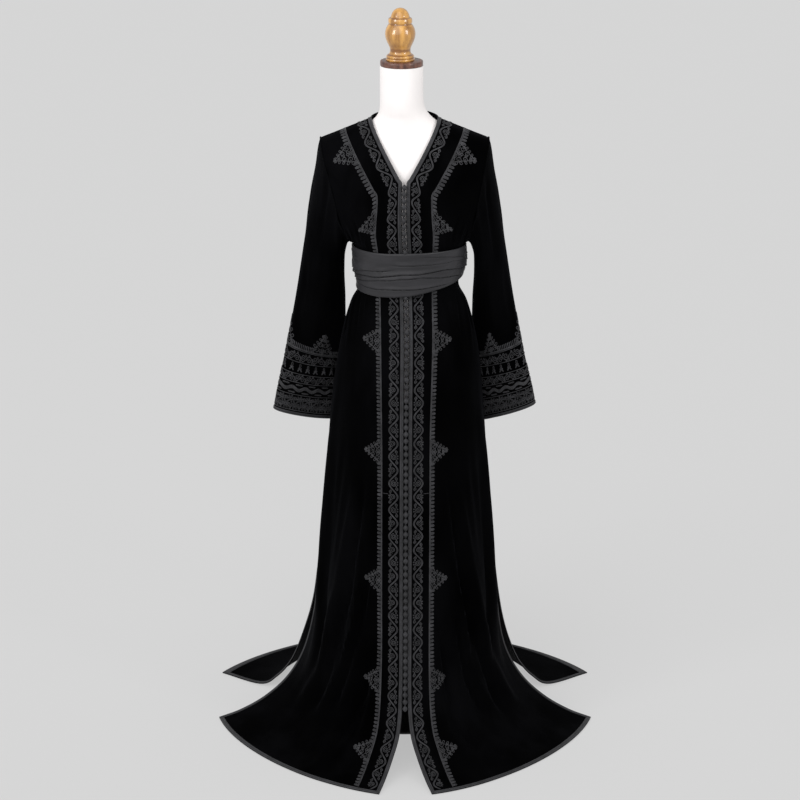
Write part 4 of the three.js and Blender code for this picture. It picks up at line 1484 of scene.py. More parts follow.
@dataclass
class Front:
    """One front of the caftan, cut in one piece from the shoulder to the hem."""

    side: Side
    finishes: Finishes
    step: float = 5.6
    fine: float = 3.0
    plain: int = 32
    folds: tuple[tuple[float, float, float, float, float], ...] = (
        (0.14, 640, 10, 9, 0.13),
        (0.41, 760, 15, 12, 0.14),
        (0.7, 900, 25, 11, 0.15),
    )

    @cached_property
    def creases(self) -> tuple[Crease, ...]:
        """The creases of this side, each as heights and distances from the centre edge."""
        return LEFT_CREASES if self.side is Side.LEFT else RIGHT_CREASES

    @cached_property
    def far(self) -> Array:
        """The distances of the columns that run beside the centre edge."""
        near = np.arange(0, LINES.band_to + 1, self.fine)
        return np.unique(np.concatenate([near, np.arange(LINES.band_to, LINES.comb_from, 3.5),
                                         np.linspace(LINES.comb_from, LINES.comb_to, 5),
                                         np.linspace(LINES.comb_to, LINES.tip, 18)]))

    @cached_property
    def rows(self) -> Array:
        """The places of the rows."""
        def line(t: Array) -> Array:
            """A line down the middle of the front."""
            return PATTERN.front(self.side.value, np.full_like(t, 0.42), t)

        return panel_rows(line, self.step)

    @cached_property
    def cloth(self) -> Cloth:
        """The velvet's outside, with its folds and creases."""
        samples = np.linspace(0, 1, SAMPLES)
        shares = np.linspace(0, 1, self.plain)[1:]
        columns, spots = [], []
        for t in self.rows:
            line = PATTERN.front(self.side.value, samples, np.full_like(samples, t))
            run = travelled(line)
            far = LINES.spread(self.far, float(line[0, 2]))
            limit = min(far[-1], float(np.interp(LINES.tip_share, samples, run)))
            bend = far[np.searchsorted(self.far, LINES.comb_to + 3)]
            far = np.where(far <= bend, far, bend + (far - bend) * (limit - bend) / (far[-1] - bend))
            u = np.interp(far, run, samples)
            side = float(np.interp(run[-1] - BRAID_WIDE, run, samples))
            rest = u[-1] + (side - u[-1]) * shares
            edge = np.interp(run[-1] - np.array(SIDE_INSET), run, samples)
            columns.append(np.concatenate([u, rest, edge]))
            spots.append(np.concatenate([np.full(len(u), -1.0), shares, [2.0, 2.0, 2.0]]))
        u, share = np.array(columns), np.array(spots)
        share[:, len(self.far) - 1] = 0
        t = np.broadcast_to(self.rows[:, None], u.shape)
        points = PATTERN.front(self.side.value, u, t)
        points = spread(points, long_folds(self.folds, share, points[..., 2]))
        plain = Cloth(points)
        return plain.moved(creased(self.creases, points[..., 2], plain.across))

    def place(self, run: Array, far: Array, lift: Array | float, line: float) -> tuple[Array, Array]:
        """Points over the front.

        Args:
            run: distances down from the shoulder along a reference line.
            far: distances from the centre edge.
            lift: how far over the velvet.
            line: the reference line's distance from the centre edge.

        Returns:
            The points and their outward normals.
        """
        column = int(np.argmin(np.abs(self.far - line)))
        down = self.cloth.down[:, column]
        i = np.interp(run, down, np.arange(len(down)))
        j = np.interp(far, self.far, np.arange(len(self.far)))
        return self.cloth.on(i, j, lift)

    def length(self, line: float) -> float:
        """How long a line down the front is, up to the braid on its hem."""
        column = int(np.argmin(np.abs(self.far - line)))
        return float(self.cloth.down[-1 - len(HEM_INSET), column])

    def run_at(self, high: float, line: float) -> float:
        """How far down a line the front reaches a height.

        Args:
            high: the height.
            line: the line's distance from the centre edge.

        Returns:
            The distance down from the shoulder.
        """
        column = int(np.argmin(np.abs(self.far - line)))
        z = self.cloth.points[:, column, 2]
        return float(np.interp(-high, -z, self.cloth.down[:, column]))

    def velvet(self) -> bpy.types.Object:
        """The velvet panel."""
        name = f"front_{self.side.word}"
        return self.cloth.body(f"velvet_{name}", CLOTH, self.finishes.velvet, name, "velvet")

    def edge(self) -> bpy.types.Object:
        """The braid round the neck, down the centre edge, along the hem and up the slit.

        Returns:
            The object.
        """
        low, last = (count - 1 for count in self.cloth.points.shape[:2])
        hem = low - len(HEM_INSET) + 1
        column = int(np.argmin(np.abs(self.far - BRAID_WIDE)))
        slit = int(np.argmin(np.abs(self.rows - PATTERN.slit_row)))
        down = [(i, 0, i, column) for i in range(0, hem + 1)]
        along = [(low, j, hem, j) for j in range(column, last - 2)]
        up = [(i, last, i, last - 3) for i in range(hem, slit - 1, -1)]
        corner_a, corner_b = (low, 0, hem, column), (low, last, hem, last - 3)
        path = [*down[:-1], corner_a, *along[1:-1], corner_b, *up[1:]]
        return self.cloth.bound(path, self.finishes.braid, f"edge_braid_{self.side.word}")


@dataclass
class Back:
    """The back of the caftan, cut in one piece from the neck to the hem."""

    finishes: Finishes
    step: float = 6.0
    half: int = 52
    folds: tuple[tuple[float, float, float, float, float], ...] = (
        (0.0, 900, 10, 14, 0.12),
        (0.26, 700, 15, 12, 0.12),
        (0.5, 820, 10, 14, 0.11),
        (0.72, 960, 20, 12, 0.1),
    )

    @cached_property
    def rows(self) -> Array:
        """The places of the rows."""
        def line(t: Array) -> Array:
            """A line down the back."""
            return PATTERN.back(np.full_like(t, 0.45), t)

        return panel_rows(line, self.step)

    @cached_property
    def cloth(self) -> Cloth:
        """The velvet's outside, with its folds and creases."""
        samples = np.linspace(0, 1, SAMPLES)
        columns = []
        neck = int(self.half * PATTERN.back_share)
        for t in self.rows:
            line = PATTERN.back(np.maximum(samples, 1e-9), np.full_like(samples, t))
            run = travelled(line)
            side = float(np.interp(run[-1] - BRAID_WIDE, run, samples))
            first = np.linspace(0, PATTERN.back_share, neck + 1)[1:]
            rest = np.linspace(PATTERN.back_share, side, self.half - neck - 2)[1:]
            edge = np.interp(run[-1] - np.array(SIDE_INSET), run, samples)
            right = np.concatenate([first, rest, edge])
            columns.append(np.concatenate([-right[::-1], [1e-9], right]))
        u = np.array(columns)
        t = np.broadcast_to(self.rows[:, None], u.shape)
        points = PATTERN.back(u, t)
        edges = np.zeros(u.shape[1], bool)
        edges[[0, 1, 2, 3, -4, -3, -2, -1]] = True
        folds = long_folds(self.folds, np.abs(u), points[..., 2])
        points = spread(points, np.where(edges[None], 0, folds))
        plain = Cloth(points)
        middle = plain.across[:, u.shape[1] // 2][:, None]
        return plain.moved(creased(BACK_CREASES, points[..., 2], plain.across - middle))

    def velvet(self) -> bpy.types.Object:
        """The velvet panel."""
        return self.cloth.body("velvet_back", CLOTH, self.finishes.velvet, "back", "velvet")

    def edge(self) -> bpy.types.Object:
        """The braid down one slit, along the hem and up the other slit.

        Returns:
            The object.
        """
        low, last = (count - 1 for count in self.cloth.points.shape[:2])
        hem = low - len(HEM_INSET) + 1
        slit = int(np.argmin(np.abs(self.rows - PATTERN.slit_row)))
        left = [(i, 0, i, 3) for i in range(slit, hem)]
        along = [(low, j, hem, j) for j in range(4, last - 3)]
        right = [(i, last, i, last - 3) for i in range(hem - 1, slit - 1, -1)]
        path = [*left, (low, 0, hem, 3), *along, (low, last, hem, last - 3), *right]
        return self.cloth.bound(path, self.finishes.braid, "edge_braid_back")

    def neck(self) -> bpy.types.Object:
        """The braid round the back of the neck.

        Returns:
            The object.
        """
        middle = self.cloth.points.shape[1] // 2
        reach = int(self.half * PATTERN.back_share)
        j = np.arange(middle - reach, middle + reach + 1)
        down = self.cloth.down[:, j]
        inner = np.array([np.interp(BRAID_WIDE, down[:, k], np.arange(len(down))) for k in range(len(j))])
        lower, normals = self.cloth.on(inner, j)
        mesh = Mesh()
        mesh.add(*ribbon(self.cloth.points[0, j], lower, normals, BRAID_THICK))
        return mesh.build("silk_neck_braid_back", self.finishes.braid, ["neck_braid_back"], "braid")


SLEEVE_ROWS = (
    (197, 0, 1386, 143, 2, 1156, 70),
    (203, 1, 1345, 149, 6, 1128, 60),
    (214, 4, 1272, 150, 14, 1084, 53),
    (233, 10, 1155, 148, 30, 1020, 51),
    (253, 17, 1032, 148, 52, 945, 50),
    (278, 30, 903, 158, 86, 856, 46),
    (299, 40, 806, 159, 94, 768, 39),
    (311, 49, 742, 161, 101, 702, 33),
)
"""Sleeve sections: the outer line's x, y, z, the inner line's x, y, z, and half the depth."""


LEFT_SLEEVE_CREASES = (
    Crease(((1370, 62), (1290, 74), (1180, 70), (1080, 60)), -4.5, (9, 16), (0.3, 0.4)),
    Crease(((1300, 110), (1215, 118), (1130, 124)), 4, (10, 14), (0.35, 0.4)),
    Crease(((1240, 142), (1160, 146), (1080, 148)), -5, (9, 13), (0.3, 0.4)),
    Crease(((1180, 92), (1080, 96), (990, 92), (930, 88)), 3.5, (12, 18), (0.4, 0.4)),
    Crease(((1150, 40), (1060, 44), (960, 40)), -3.5, (11, 16), (0.4, 0.4)),
    Crease(((1090, 120), (1000, 122), (940, 118)), -4, (9, 13), (0.35, 0.4)),
    Crease(((1340, 300), (1230, 290), (1100, 296)), -5, (10, 18), (0.3, 0.4)),
    Crease(((1260, 235), (1150, 232), (1040, 226)), 4.5, (10, 18), (0.35, 0.4)),
    Crease(((1150, 268), (1050, 262), (950, 266)), -4, (10, 16), (0.35, 0.4)),
    Crease(((1360, 350), (1270, 356), (1170, 352)), 3, (12, 16), (0.4, 0.4)),
)
RIGHT_SLEEVE_CREASES = (
    Crease(((1365, 56), (1280, 66), (1170, 64), (1060, 58)), -4.5, (9, 17), (0.3, 0.4)),
    Crease(((1310, 104), (1220, 114), (1120, 118)), 4, (10, 15), (0.35, 0.4)),
    Crease(((1245, 138), (1165, 142), (1085, 144)), -5, (9, 13), (0.3, 0.4)),
    Crease(((1160, 86), (1070, 92), (980, 90), (930, 86)), 3.5, (12, 18), (0.4, 0.4)),
    Crease(((1130, 36), (1050, 40), (950, 38)), -3.5, (11, 16), (0.4, 0.4)),
    Crease(((1080, 114), (1000, 116), (936, 114)), -4, (9, 13), (0.35, 0.4)),
    Crease(((1350, 306), (1240, 296), (1110, 300)), -5, (10, 18), (0.3, 0.4)),
    Crease(((1250, 240), (1150, 238), (1030, 230)), 4.5, (10, 18), (0.35, 0.4)),
    Crease(((1140, 272), (1050, 266), (940, 270)), -4, (10, 16), (0.35, 0.4)),
    Crease(((1355, 346), (1260, 352), (1160, 350)), 3, (12, 16), (0.4, 0.4)),
)
"""The sleeves' creases, each as heights and angles from the outer line over the front."""


@dataclass
class Sleeve:
    """A sleeve, from the armhole to the cuff."""

    side: Side
    finishes: Finishes
    columns: int = 96
    step: float = 5.5
    piping: tuple[float, float, int] = (1.5, 1.3, 6)

    def surface(self, degrees: Array, t: Array) -> Array:
        """Points of the sleeve.

        Args:
            degrees: angles from the outer line over the front.
            t: places, in rows from the armhole.

        Returns:
            The points.
        """
        table = np.array(SLEEVE_ROWS, float)
        a = np.radians(degrees)
        front = degrees <= 180
        top = PATTERN.armhole(np.where(front, degrees, 360 - degrees), front) + np.array([0.6, 0, 0])

        def row(k: Array) -> Array:
            """The points of the rows k.

            Args:
                k: row numbers.

            Returns:
                Their points.
            """
            r = table[np.maximum(k - 1, 0)]
            out, inner = r[..., :3], r[..., 3:6]
            middle = (out + inner) / 2
            ring = middle + (out - middle) * np.cos(a)[..., None]
            ring[..., 1] -= r[..., 6] * np.sin(a)
            return np.where((k == 0)[..., None], top, ring)

        p = through(row, len(SLEEVE_ROWS), t)
        p[..., 0] *= self.side.value
        return PATTERN.sway(p, on_sleeve=True)

    @cached_property
    def cloth(self) -> Cloth:
        """The velvet's outside, with its creases."""
        def line(t: Array) -> Array:
            """A line down the front of the sleeve."""
            return self.surface(np.full_like(t, 90.0), t)

        kept = [0.0, len(SLEEVE_ROWS), *[-x for x in (3.0, 6.0, BRAID_WIDE)]]
        rows = even_rows(line, len(SLEEVE_ROWS), self.step, kept)
        angles = np.linspace(0, 360, self.columns, endpoint=False)
        degrees, t = np.meshgrid(angles, rows)
        points = self.surface(degrees, t)
        inside = points[len(rows) // 2].mean(0)
        plain = Cloth(points, tuple(inside), closed=True)
        creases = LEFT_SLEEVE_CREASES if self.side is Side.LEFT else RIGHT_SLEEVE_CREASES
        height = creased(creases, points[..., 2], degrees)
        return plain.moved(height + creased(creases, points[..., 2], degrees - 360))

    @cached_property
    def round(self) -> Array:
        """How far round the hem each column lies, with the whole way round at the end."""
        hem = np.concatenate([self.cloth.points[-1], self.cloth.points[-1, :1]])
        return travelled(hem)

    def place(self, around: Array, up: Array, lift: Array | float) -> tuple[Array, Array]:
        """Points over the sleeve.

        Args:
            around: shares of the way round, from the outer line over the front.
            up: distances up from the hem.
            lift: how far over the velvet.

        Returns:
            The points and their outward normals.
        """
        j = np.interp(np.mod(around, 1) * self.round[-1], self.round, np.arange(self.columns + 1))
        height = self.cloth.down[-1][None] - self.cloth.down
        column = int(self.columns // 4)
        i = np.interp(-np.asarray(up, float), -height[:, column], np.arange(len(height)))
        return self.cloth.on(i, j, lift)

    def velvet(self) -> bpy.types.Object:
        """The velvet tube."""
        name = f"sleeve_{self.side.word}"
        return self.cloth.body(f"velvet_{name}", CLOTH, self.finishes.velvet, name, "velvet")

    def hem(self) -> bpy.types.Object:
        """The braid round the cuff.

        Returns:
            The object.
        """
        points, normals = self.cloth.points, self.cloth.normals
        mesh = Mesh()
        mesh.add(*ribbon(points[-1], points[-4], normals[-1], BRAID_THICK, closed=True))
        name = f"cuff_braid_{self.side.word}"
        return mesh.build(f"silk_{name}", self.finishes.braid, [name], "braid")

    def seam(self) -> bpy.types.Object:
        """The fine piping along the armhole.

        Returns:
            The object.
        """
        mesh = Mesh()
        mesh.add(*tube(self.cloth.points[0], self.cloth.normals[0], *self.piping, True))
        return mesh.build(f"armhole_piping_{self.side.word}", self.finishes.velvet, [], "velvet", sharp=180)


# ---------------------------------------------------------------- sash
@dataclass(frozen=True)
class Pleat:
    """One pleat of the sash: a soft rise that ends in a sharp step down.

    Attributes:
        depth: how far it stands out.
        line: its places, as turns round the body from its right side over the back, and
            shares of the way from the sash's top to its bottom.
    """

    depth: float
    line: tuple[tuple[float, float], ...]

    def height(self, share: Array, turn: Array, number: int) -> Array:
        """How far it moves the satin out at each point.

        Args:
            share: shares of the way from the sash's top to its bottom.
            turn: turns round the body.
            number: the pleat's number, which sets how its line wanders.

        Returns:
            The heights.
        """
        turns, shares = np.transpose(self.line)
        part = np.mod(turn - turns[0], 1.0) + turns[0]
        ends = smooth(part, turns[0], turns[0] + 0.05) * (1 - smooth(part, turns[-1] - 0.05, turns[-1]))
        fade = 1.0 if turns[-1] - turns[0] >= 1 else ends
        whole = 2 * np.pi * turn
        wander = 0.01 * np.sin(3 * whole + 1.7 * number) + 0.006 * np.sin(8 * whole + 2.9 * number)
        off = share - np.interp(part, turns, shares) - wander
        step = np.where(off < 0, np.exp(-((off / 0.06) ** 2)), np.exp(-((off / 0.009) ** 2)))
        return self.depth * fade * (step - 0.75 * np.exp(-(((off - 0.02) / 0.012) ** 2)))


@dataclass
class Sash:
    """The pleated satin sash round the waist."""

    finishes: Finishes
    around: int = 250
    across: int = 108
    clear: tuple[float, float, float] = (9, 11, 10)
    thick: float = 1.6
    tilt: tuple[float, float] = (0.05, 0.33)
    rise: tuple[float, float] = (0.03, 0.1)
    lip: float = 1.4
    pleats: tuple[Pleat, ...] = (
        Pleat(2.6, ((0, 0.76), (0.1, 0.62), (0.25, 0.5), (0.4, 0.55), (0.5, 0.64), (0.56, 0.58),
                    (0.665, 0.5), (0.75, 0.43), (0.86, 0.48), (0.93, 0.6), (1, 0.76))),
        Pleat(2.3, ((0.47, 0.84), (0.56, 0.7), (0.665, 0.58), (0.74, 0.54), (0.795, 0.57),
                    (0.915, 0.78), (0.96, 0.9))),
        Pleat(2.3, ((0.54, 0.75), (0.6, 0.8), (0.69, 0.79), (0.75, 0.82), (0.83, 0.86), (0.9, 0.92))),
        Pleat(1.5, ((0.7, 0.22), (0.78, 0.26), (0.88, 0.3), (0.99, 0.48))),
        Pleat(2.0, ((0.45, 0.6), (0.54, 0.53), (0.63, 0.4), (0.73, 0.32))),
        Pleat(1.5, ((0.78, 0.08), (0.86, 0.15), (0.95, 0.32), (1.03, 0.42))),
        Pleat(1.7, ((0.87, 0.45), (0.95, 0.53), (1.05, 0.62))),
        Pleat(1.6, ((0.44, 0.12), (0.52, 0.2), (0.6, 0.17))),
        Pleat(2.0, ((0.04, 0.3), (0.15, 0.36), (0.3, 0.3), (0.44, 0.2))),
        Pleat(2.2, ((0.06, 0.82), (0.2, 0.74), (0.33, 0.8), (0.45, 0.9))),
        Pleat(1.4, ((0.12, 0.16), (0.24, 0.13), (0.38, 0.18))),
    )

    def ring(self, share: Array, turn: Array, out: Array) -> Array:
        """Points round the body.

        Args:
            share: 0 at the sash's top and 1 at its bottom.
            turn: 0 to 1 round the body, from its right side over the back.
            out: how far out from the body.

        Returns:
            The points.
        """
        top, bottom = PATTERN.sash_rows
        aside = np.cos(2 * np.pi * turn)
        tilt, rise = (low + (high - low) * share for low, high in (self.tilt, self.rise))
        t = top + (bottom - top) * share - tilt * aside - rise * aside**2
        quarter = np.floor(turn * 4).astype(int) % 4
        part = turn * 4 - np.floor(turn * 4)
        u = np.where(quarter % 2 == 1, part, 1 - part)
        side = np.where((quarter == 1) | (quarter == 2), -1, 1)
        back = PATTERN.back(side * np.maximum(u, 1e-9), t)
        left, right = PATTERN.front(-1, u, t), PATTERN.front(1, u, t)
        front = np.where((side == 1)[..., None], right, left)
        return spread(np.where((quarter < 2)[..., None], back, front), out)

    def profile(self, share: Array, turn: Array) -> Array:
        """How far the satin stands over its plain clearance.

        Args:
            share: shares of the way from the sash's top to its bottom.
            turn: turns round the body.

        Returns:
            The heights.
        """
        height = np.zeros_like(share)
        for n, pleat in enumerate(self.pleats):
            height += pleat.height(share, turn, n)
        aside = np.abs(np.cos(2 * np.pi * turn)) ** 6
        gathers = np.sin(2 * np.pi * (share * 5.5 + 0.3 * np.sin(2 * np.pi * turn * 9)))
        pulled = np.sin(2 * np.pi * (turn * 31 + share * 1.3)) * np.sin(2 * np.pi * turn * 7)
        return height + (0.25 * pulled + 1.8 * aside * gathers) * (1 - np.abs(2 * share - 1))

    @cached_property
    def cloth(self) -> Cloth:
        """The satin's outside."""
        turn, share = np.meshgrid(np.linspace(0, 1, self.around, endpoint=False),
                                  np.linspace(0, 1, self.across))
        top, middle, bottom = self.clear
        plain = np.interp(share, [0, 0.5, 1], [top, middle, bottom])
        lip = self.lip * (smooth(share, 0, 0.035) * (1 - smooth(share, 0.965, 1)) - 1)
        points = self.ring(share, turn, plain - self.thick + lip + self.profile(share, turn))
        return Cloth(points, (0, 0, 1110), closed=True)

    def satin(self) -> bpy.types.Object:
        """The sash."""
        return self.cloth.body("satin_sash", self.thick, self.finishes.satin, "sash", "satin")


# ---------------------------------------------------------------- dress form
FORM_ROWS = (
    (1571, -7, 49, 48, 48),
    (1530, -7, 49, 48, 47),
    (1494, -6.5, 49.5, 48, 45),
    (1474, -5, 52, 47, 41),
    (1456, -2, 62, 45, 37),
    (1443, -1, 79, 45, 37),
    (1430, 0, 107, 50, 44),
    (1415, 0, 138, 61, 57),
    (1398, 0, 157, 71, 64),
    (1374, 0, 167, 82, 71),
    (1344, 0, 165, 94, 77),
    (1306, 1, 155, 103, 81),
    (1262, 2, 144, 109, 82),
    (1216, 4, 132, 107, 79),
    (1165, 6, 115, 98, 74),
    (1110, 7, 103, 91, 70),
    (1068, 7, 98, 87, 71),
    (1010, 6, 115, 91, 80),
    (940, 5, 133, 99, 93),
    (870, 3, 143, 106, 101),
    (806, 2, 143, 107, 101),
)
"""The form's sections: height, middle, half width, and reach to the front and to the back."""


@dataclass
class DressForm:
    """The limbless form with its neck disc, turned finial, pole and base."""

    finishes: Finishes
    sides: int = 72
    neck_top: float = 1571
    fit: float = 0.3
    neck_side: float = -7
    finial_side: float = -10
    pole_r: float = 12.5
    flange: tuple[float, float] = (32, 12)
    base_r: float = 190
    base_thick: float = 9
    hub: tuple[float, float] = (24, 52)
    cap: tuple[tuple[float, float], ...] = (
        *((0, 0), (46.5, 0), (47.8, 0.6), (48.2, 2), (48.2, 9.5), (47.8, 10.9), (46.5, 11.5), (0, 11.5)),
    )
    finial: tuple[tuple[float, float], ...] = (
        *((0, 0), (31.2, 0), (32.2, 1), (32.5, 3), (31.8, 5), (30.6, 6.2), (31.2, 7.4), (31.5, 9)),
        *((30.9, 11), (28.6, 13.2), (25.4, 15), (23.8, 17.6), (23, 22), (23.4, 26.5), (25, 31.5)),
        *((27.8, 37), (31, 44), (33.4, 51.5), (34.4, 59), (33.8, 66), (31.6, 73), (28.2, 79), (26, 82)),
        *((25.7, 83.4), (26.7, 85), (27, 88), (26.9, 91.5), (26, 94.4), (23.4, 95.6), (21.4, 97.4)),
        *((20.4, 101), (17.8, 107.4), (14, 112.2), (8.6, 116), (3, 117.4), (0, 117.5)),
    )

    def torso(self) -> bpy.types.Object:
        """The padded torso and neck.

        Returns:
            The object.
        """
        table = np.array(FORM_ROWS, float)
        last = len(table) - 1
        t = np.linspace(0, last, last * 7 + 1)
        i = np.clip(np.floor(t).astype(int), 0, last - 1)
        four = [table[np.clip(i + k, 0, last)] for k in (-1, 0, 1, 2)]
        high, side, wide, front, back = between4(*four, (t - i)[:, None]).T[..., None]
        turn = np.linspace(0, 2 * np.pi, self.sides, endpoint=False)[None]
        deep = np.where(np.sin(turn) < 0, front, back)
        points = np.stack([side + wide * np.cos(turn), deep * np.sin(turn), high + 0 * turn], -1)
        mesh = Mesh()
        mesh.add(points, facing_out(points, capped(len(t), self.sides)), turn * wide, high + 0 * turn)
        return mesh.build("jersey_torso", self.finishes.jersey, ["form_torso"], "jersey", sharp=60)

    def turned(self, name: str, profile: Sequence[tuple[float, float]], place: tuple[float, float],
               finish: bpy.types.Material, node: str, slot: str) -> bpy.types.Object:
        """A turned piece.

        Args:
            name: its name.
            profile: radius and height, from its foot to its top.
            place: how far to the side and how high it stands.
            finish: its material.
            node: the CAD node that it stands for.
            slot: the record's material slot.

        Returns:
            The object.
        """
        r, z = np.array(profile, float)[1:-1].T
        turn = np.linspace(0, 2 * np.pi, self.sides, endpoint=False)[None]
        x, y = r[:, None] * np.cos(turn), r[:, None] * np.sin(turn)
        points = np.stack([x + place[0], y, z[:, None] + place[1] + 0 * turn], -1)
        faces = facing_out(points, capped(len(r), self.sides))
        mesh = Mesh()
        mesh.add(points, faces, turn * r[:, None], z[:, None] + 0 * turn)
        return mesh.build(name, finish, [node], slot, sharp=40)

    def build(self) -> None:
        """Builds the form from the torso to the base."""
        self.torso()
        f = self.finishes
        cap_high = self.neck_top + self.fit
        finial_high = cap_high + self.cap[-1][1] + self.fit
        self.turned("neck_disc", self.cap, (self.neck_side, cap_high), f.dark_wood, "neck_cap", "dark_wood")
        self.turned("turned_finial", self.finial, (self.finial_side, finial_high), f.turned_wood,
                    "finial", "turned_wood")
        top = FORM_ROWS[-1][0] - self.fit
        low = top - self.flange[1]
        foot = self.base_thick + self.fit
        pole = ((0, foot), (self.pole_r, foot), (self.pole_r, low - 3), (self.pole_r + 3, low),
                (self.flange[0] - 1, low), (self.flange[0], low + 1), (self.flange[0], top - 1),
                (self.flange[0] - 1, top), (0, top))
        self.turned("steel_pole", pole, (0, 0), f.steel, "pole", "steel")
        socket = self.pole_r + self.fit
        base = ((0, 0), (self.base_r - 2, 0), (self.base_r - 0.5, 1), (self.base_r, 2.5),
                (self.base_r - 0.8, 4.6), (self.base_r - 3, self.base_thick - 3),
                (self.hub[0] * 1.6, self.base_thick + 6), (self.hub[0] * 1.2, self.base_thick + 8.5),
                (self.hub[0], self.base_thick + 12), (self.hub[0] * 0.85, self.hub[1] - 1.5),
                (self.hub[0] * 0.8, self.hub[1]), (socket, self.hub[1]), (socket, self.base_thick),
                (0, self.base_thick))
        self.turned("steel_base", base, (0, 0), f.steel, "base", "steel")


# ---------------------------------------------------------------- studio
def placed(name: str, data: bpy.types.ID, at: Sequence[float] = (0, 0, 0),
           turned: Sequence[float] = (0, 0, 0)) -> bpy.types.Object:
    """An object in the scene.

    Args:
        name: its name.
        data: its mesh, light or camera.
        at: its place, in metres.
        turned: its rotation round each axis.

    Returns:
        The object.
    """
    made = bpy.data.objects.new(name, data)
    made.location = at
    made.rotation_euler = turned
    bpy.context.scene.collection.objects.link(made)
    return made


@dataclass
class Studio:
    """The floor, the soft light and the camera."""

    finishes: Finishes
    floor_r: float = 60000
    floor_low: float = 0.6
    floor_sides: int = 64
    camera_high: float = 2520
    camera_far: float = 5200
    camera_side: float = -10.6
    look_down: float = 18.52
    lens: float = 104.76
    sky: float = 0.62
    key: float = 1.25
    key_high: float = 36
    key_side: float = -24
    key_soft: float = 70
    box_power: float = 2.6
    box_size: tuple[float, float] = (0.2, 0.4)
    box_place: tuple[float, float, float] = (0.62, -0.5, 1.86)
    box_tilt: float = 68

    def floor(self) -> None:
        """A pale floor that reaches past the camera's view."""
        sides = self.floor_sides
        turn = np.linspace(0, 2 * np.pi, sides, endpoint=False)
        rings = np.array([0.02, 1.0])[:, None] * self.floor_r
        low = 0 * rings * turn - self.floor_low
        points = np.stack([rings * np.cos(turn), rings * np.sin(turn), low], -1)
        mesh = bpy.data.meshes.new("floor")
        faces = [*grid_faces(2, sides, True)[:, ::-1].tolist(), list(range(sides))]
        mesh.from_pydata((points.reshape(-1, 3) * MM).tolist(), [], faces)
        mesh.materials.append(self.finishes.floor)
        placed("floor", mesh)

    def light(self) -> None:
        """An even sky, one very soft key light and two small boxes beside the finial."""
        world = bpy.data.worlds.new("studio")
        world.use_nodes = True
        sky = world.node_tree.nodes["Background"]
        sky.inputs["Color"].default_value = (1, 1, 1, 1)
        sky.inputs["Strength"].default_value = self.sky
        bpy.context.scene.world = world
        key = bpy.data.lights.new("key", "SUN")
        key.energy = self.key
        key.angle = math.radians(self.key_soft)
        placed("key", key, turned=(math.radians(90 - self.key_high), 0, math.radians(self.key_side)))
        far, near, high = self.box_place
        for name, aside in (("box_left", -far), ("box_right", far)):
            box = bpy.data.lights.new(name, "AREA")
            box.shape = "RECTANGLE"
            box.size, box.size_y = self.box_size
            box.energy = self.box_power
            turned = (math.radians(self.box_tilt), 0, math.atan2(aside, -near))
            placed(name, box, (aside, near, high), turned).visible_camera = False

    def camera(self) -> None:
        """The camera, high in front and looking down."""
        lens = bpy.data.cameras.new("camera")
        lens.lens = self.lens
        lens.sensor_width = 36
        lens.clip_end = 200
        at = (self.camera_side * MM, -self.camera_far * MM, self.camera_high * MM)
        bpy.context.scene.camera = placed("camera", lens, at, (math.radians(90 - self.look_down), 0, 0))

    def build(self) -> None:
        """Sets up the whole studio."""
        self.floor()
        self.light()
        self.camera()
        bpy.context.scene.view_settings.view_transform = "Standard"


# ---------------------------------------------------------------- corded embroidery
Line = tuple[Array, Array]


def curl(run: float, far: float, big: float, small: float, start: float, turns: float,
         hand: int, count: int = 18) -> Line:
    """A spiral of cord.

    Args:
        run: its middle along the band.
        far: its middle across the band.
        big: the radius where it begins.
        small: the radius where it ends.
        start: the angle where it begins, in degrees.
        turns: how many times it goes round.
        hand: 1 or -1, the way it turns.
        count: its points.

    Returns:
        The points along and across.
    """
    share = np.linspace(0, 1, count)
    a = math.radians(start) + hand * share * turns * 2 * np.pi
    r = big + (small - big) * share**0.85
    return run + r * np.cos(a), far + r * np.sin(a)


def petal(run: float, far: float, long: float, wide: float, turn: float, count: int = 11) -> Line:
    """A closed drop of cord that points away from its place.

    Args:
        run: its foot along the band.
        far: its foot across the band.
        long: its length.
        wide: half its width.
        turn: the way it points, in degrees.
        count: its points.

    Returns:
        The points along and across.
    """
    a = np.linspace(0, 2 * np.pi, count, endpoint=False)
    x = long * (1 - np.cos(a)) / 2
    y = wide * np.sin(a) * (0.55 + 0.45 * (x / long))
    c, s = math.cos(math.radians(turn)), math.sin(math.radians(turn))
    return run + x * c - y * s, far + x * s + y * c


PEAK_CURLS = (
    (0.58, 0.19, 0.165, 1.3),
    (0.3, 0.46, 0.15, 1.3),
    (0.14, 0.72, 0.09, 1.1),
    (0.18, 0.15, 0.12, 1.2),
)
"""A motif's curls: shares along and up, size as a share of its height, and turns."""

PEAK_PETALS = (
    (0.86, 0.14, 22, 0.17),
    (0.7, 0.31, 40, 0.17),
    (0.5, 0.5, 48, 0.15),
    (0.31, 0.68, 55, 0.13),
    (0.12, 0.84, 62, 0.1),
    (0.98, 0.03, 0, 0.12),
)
"""A motif's outer drops: shares along and up, the way each points, and its length."""


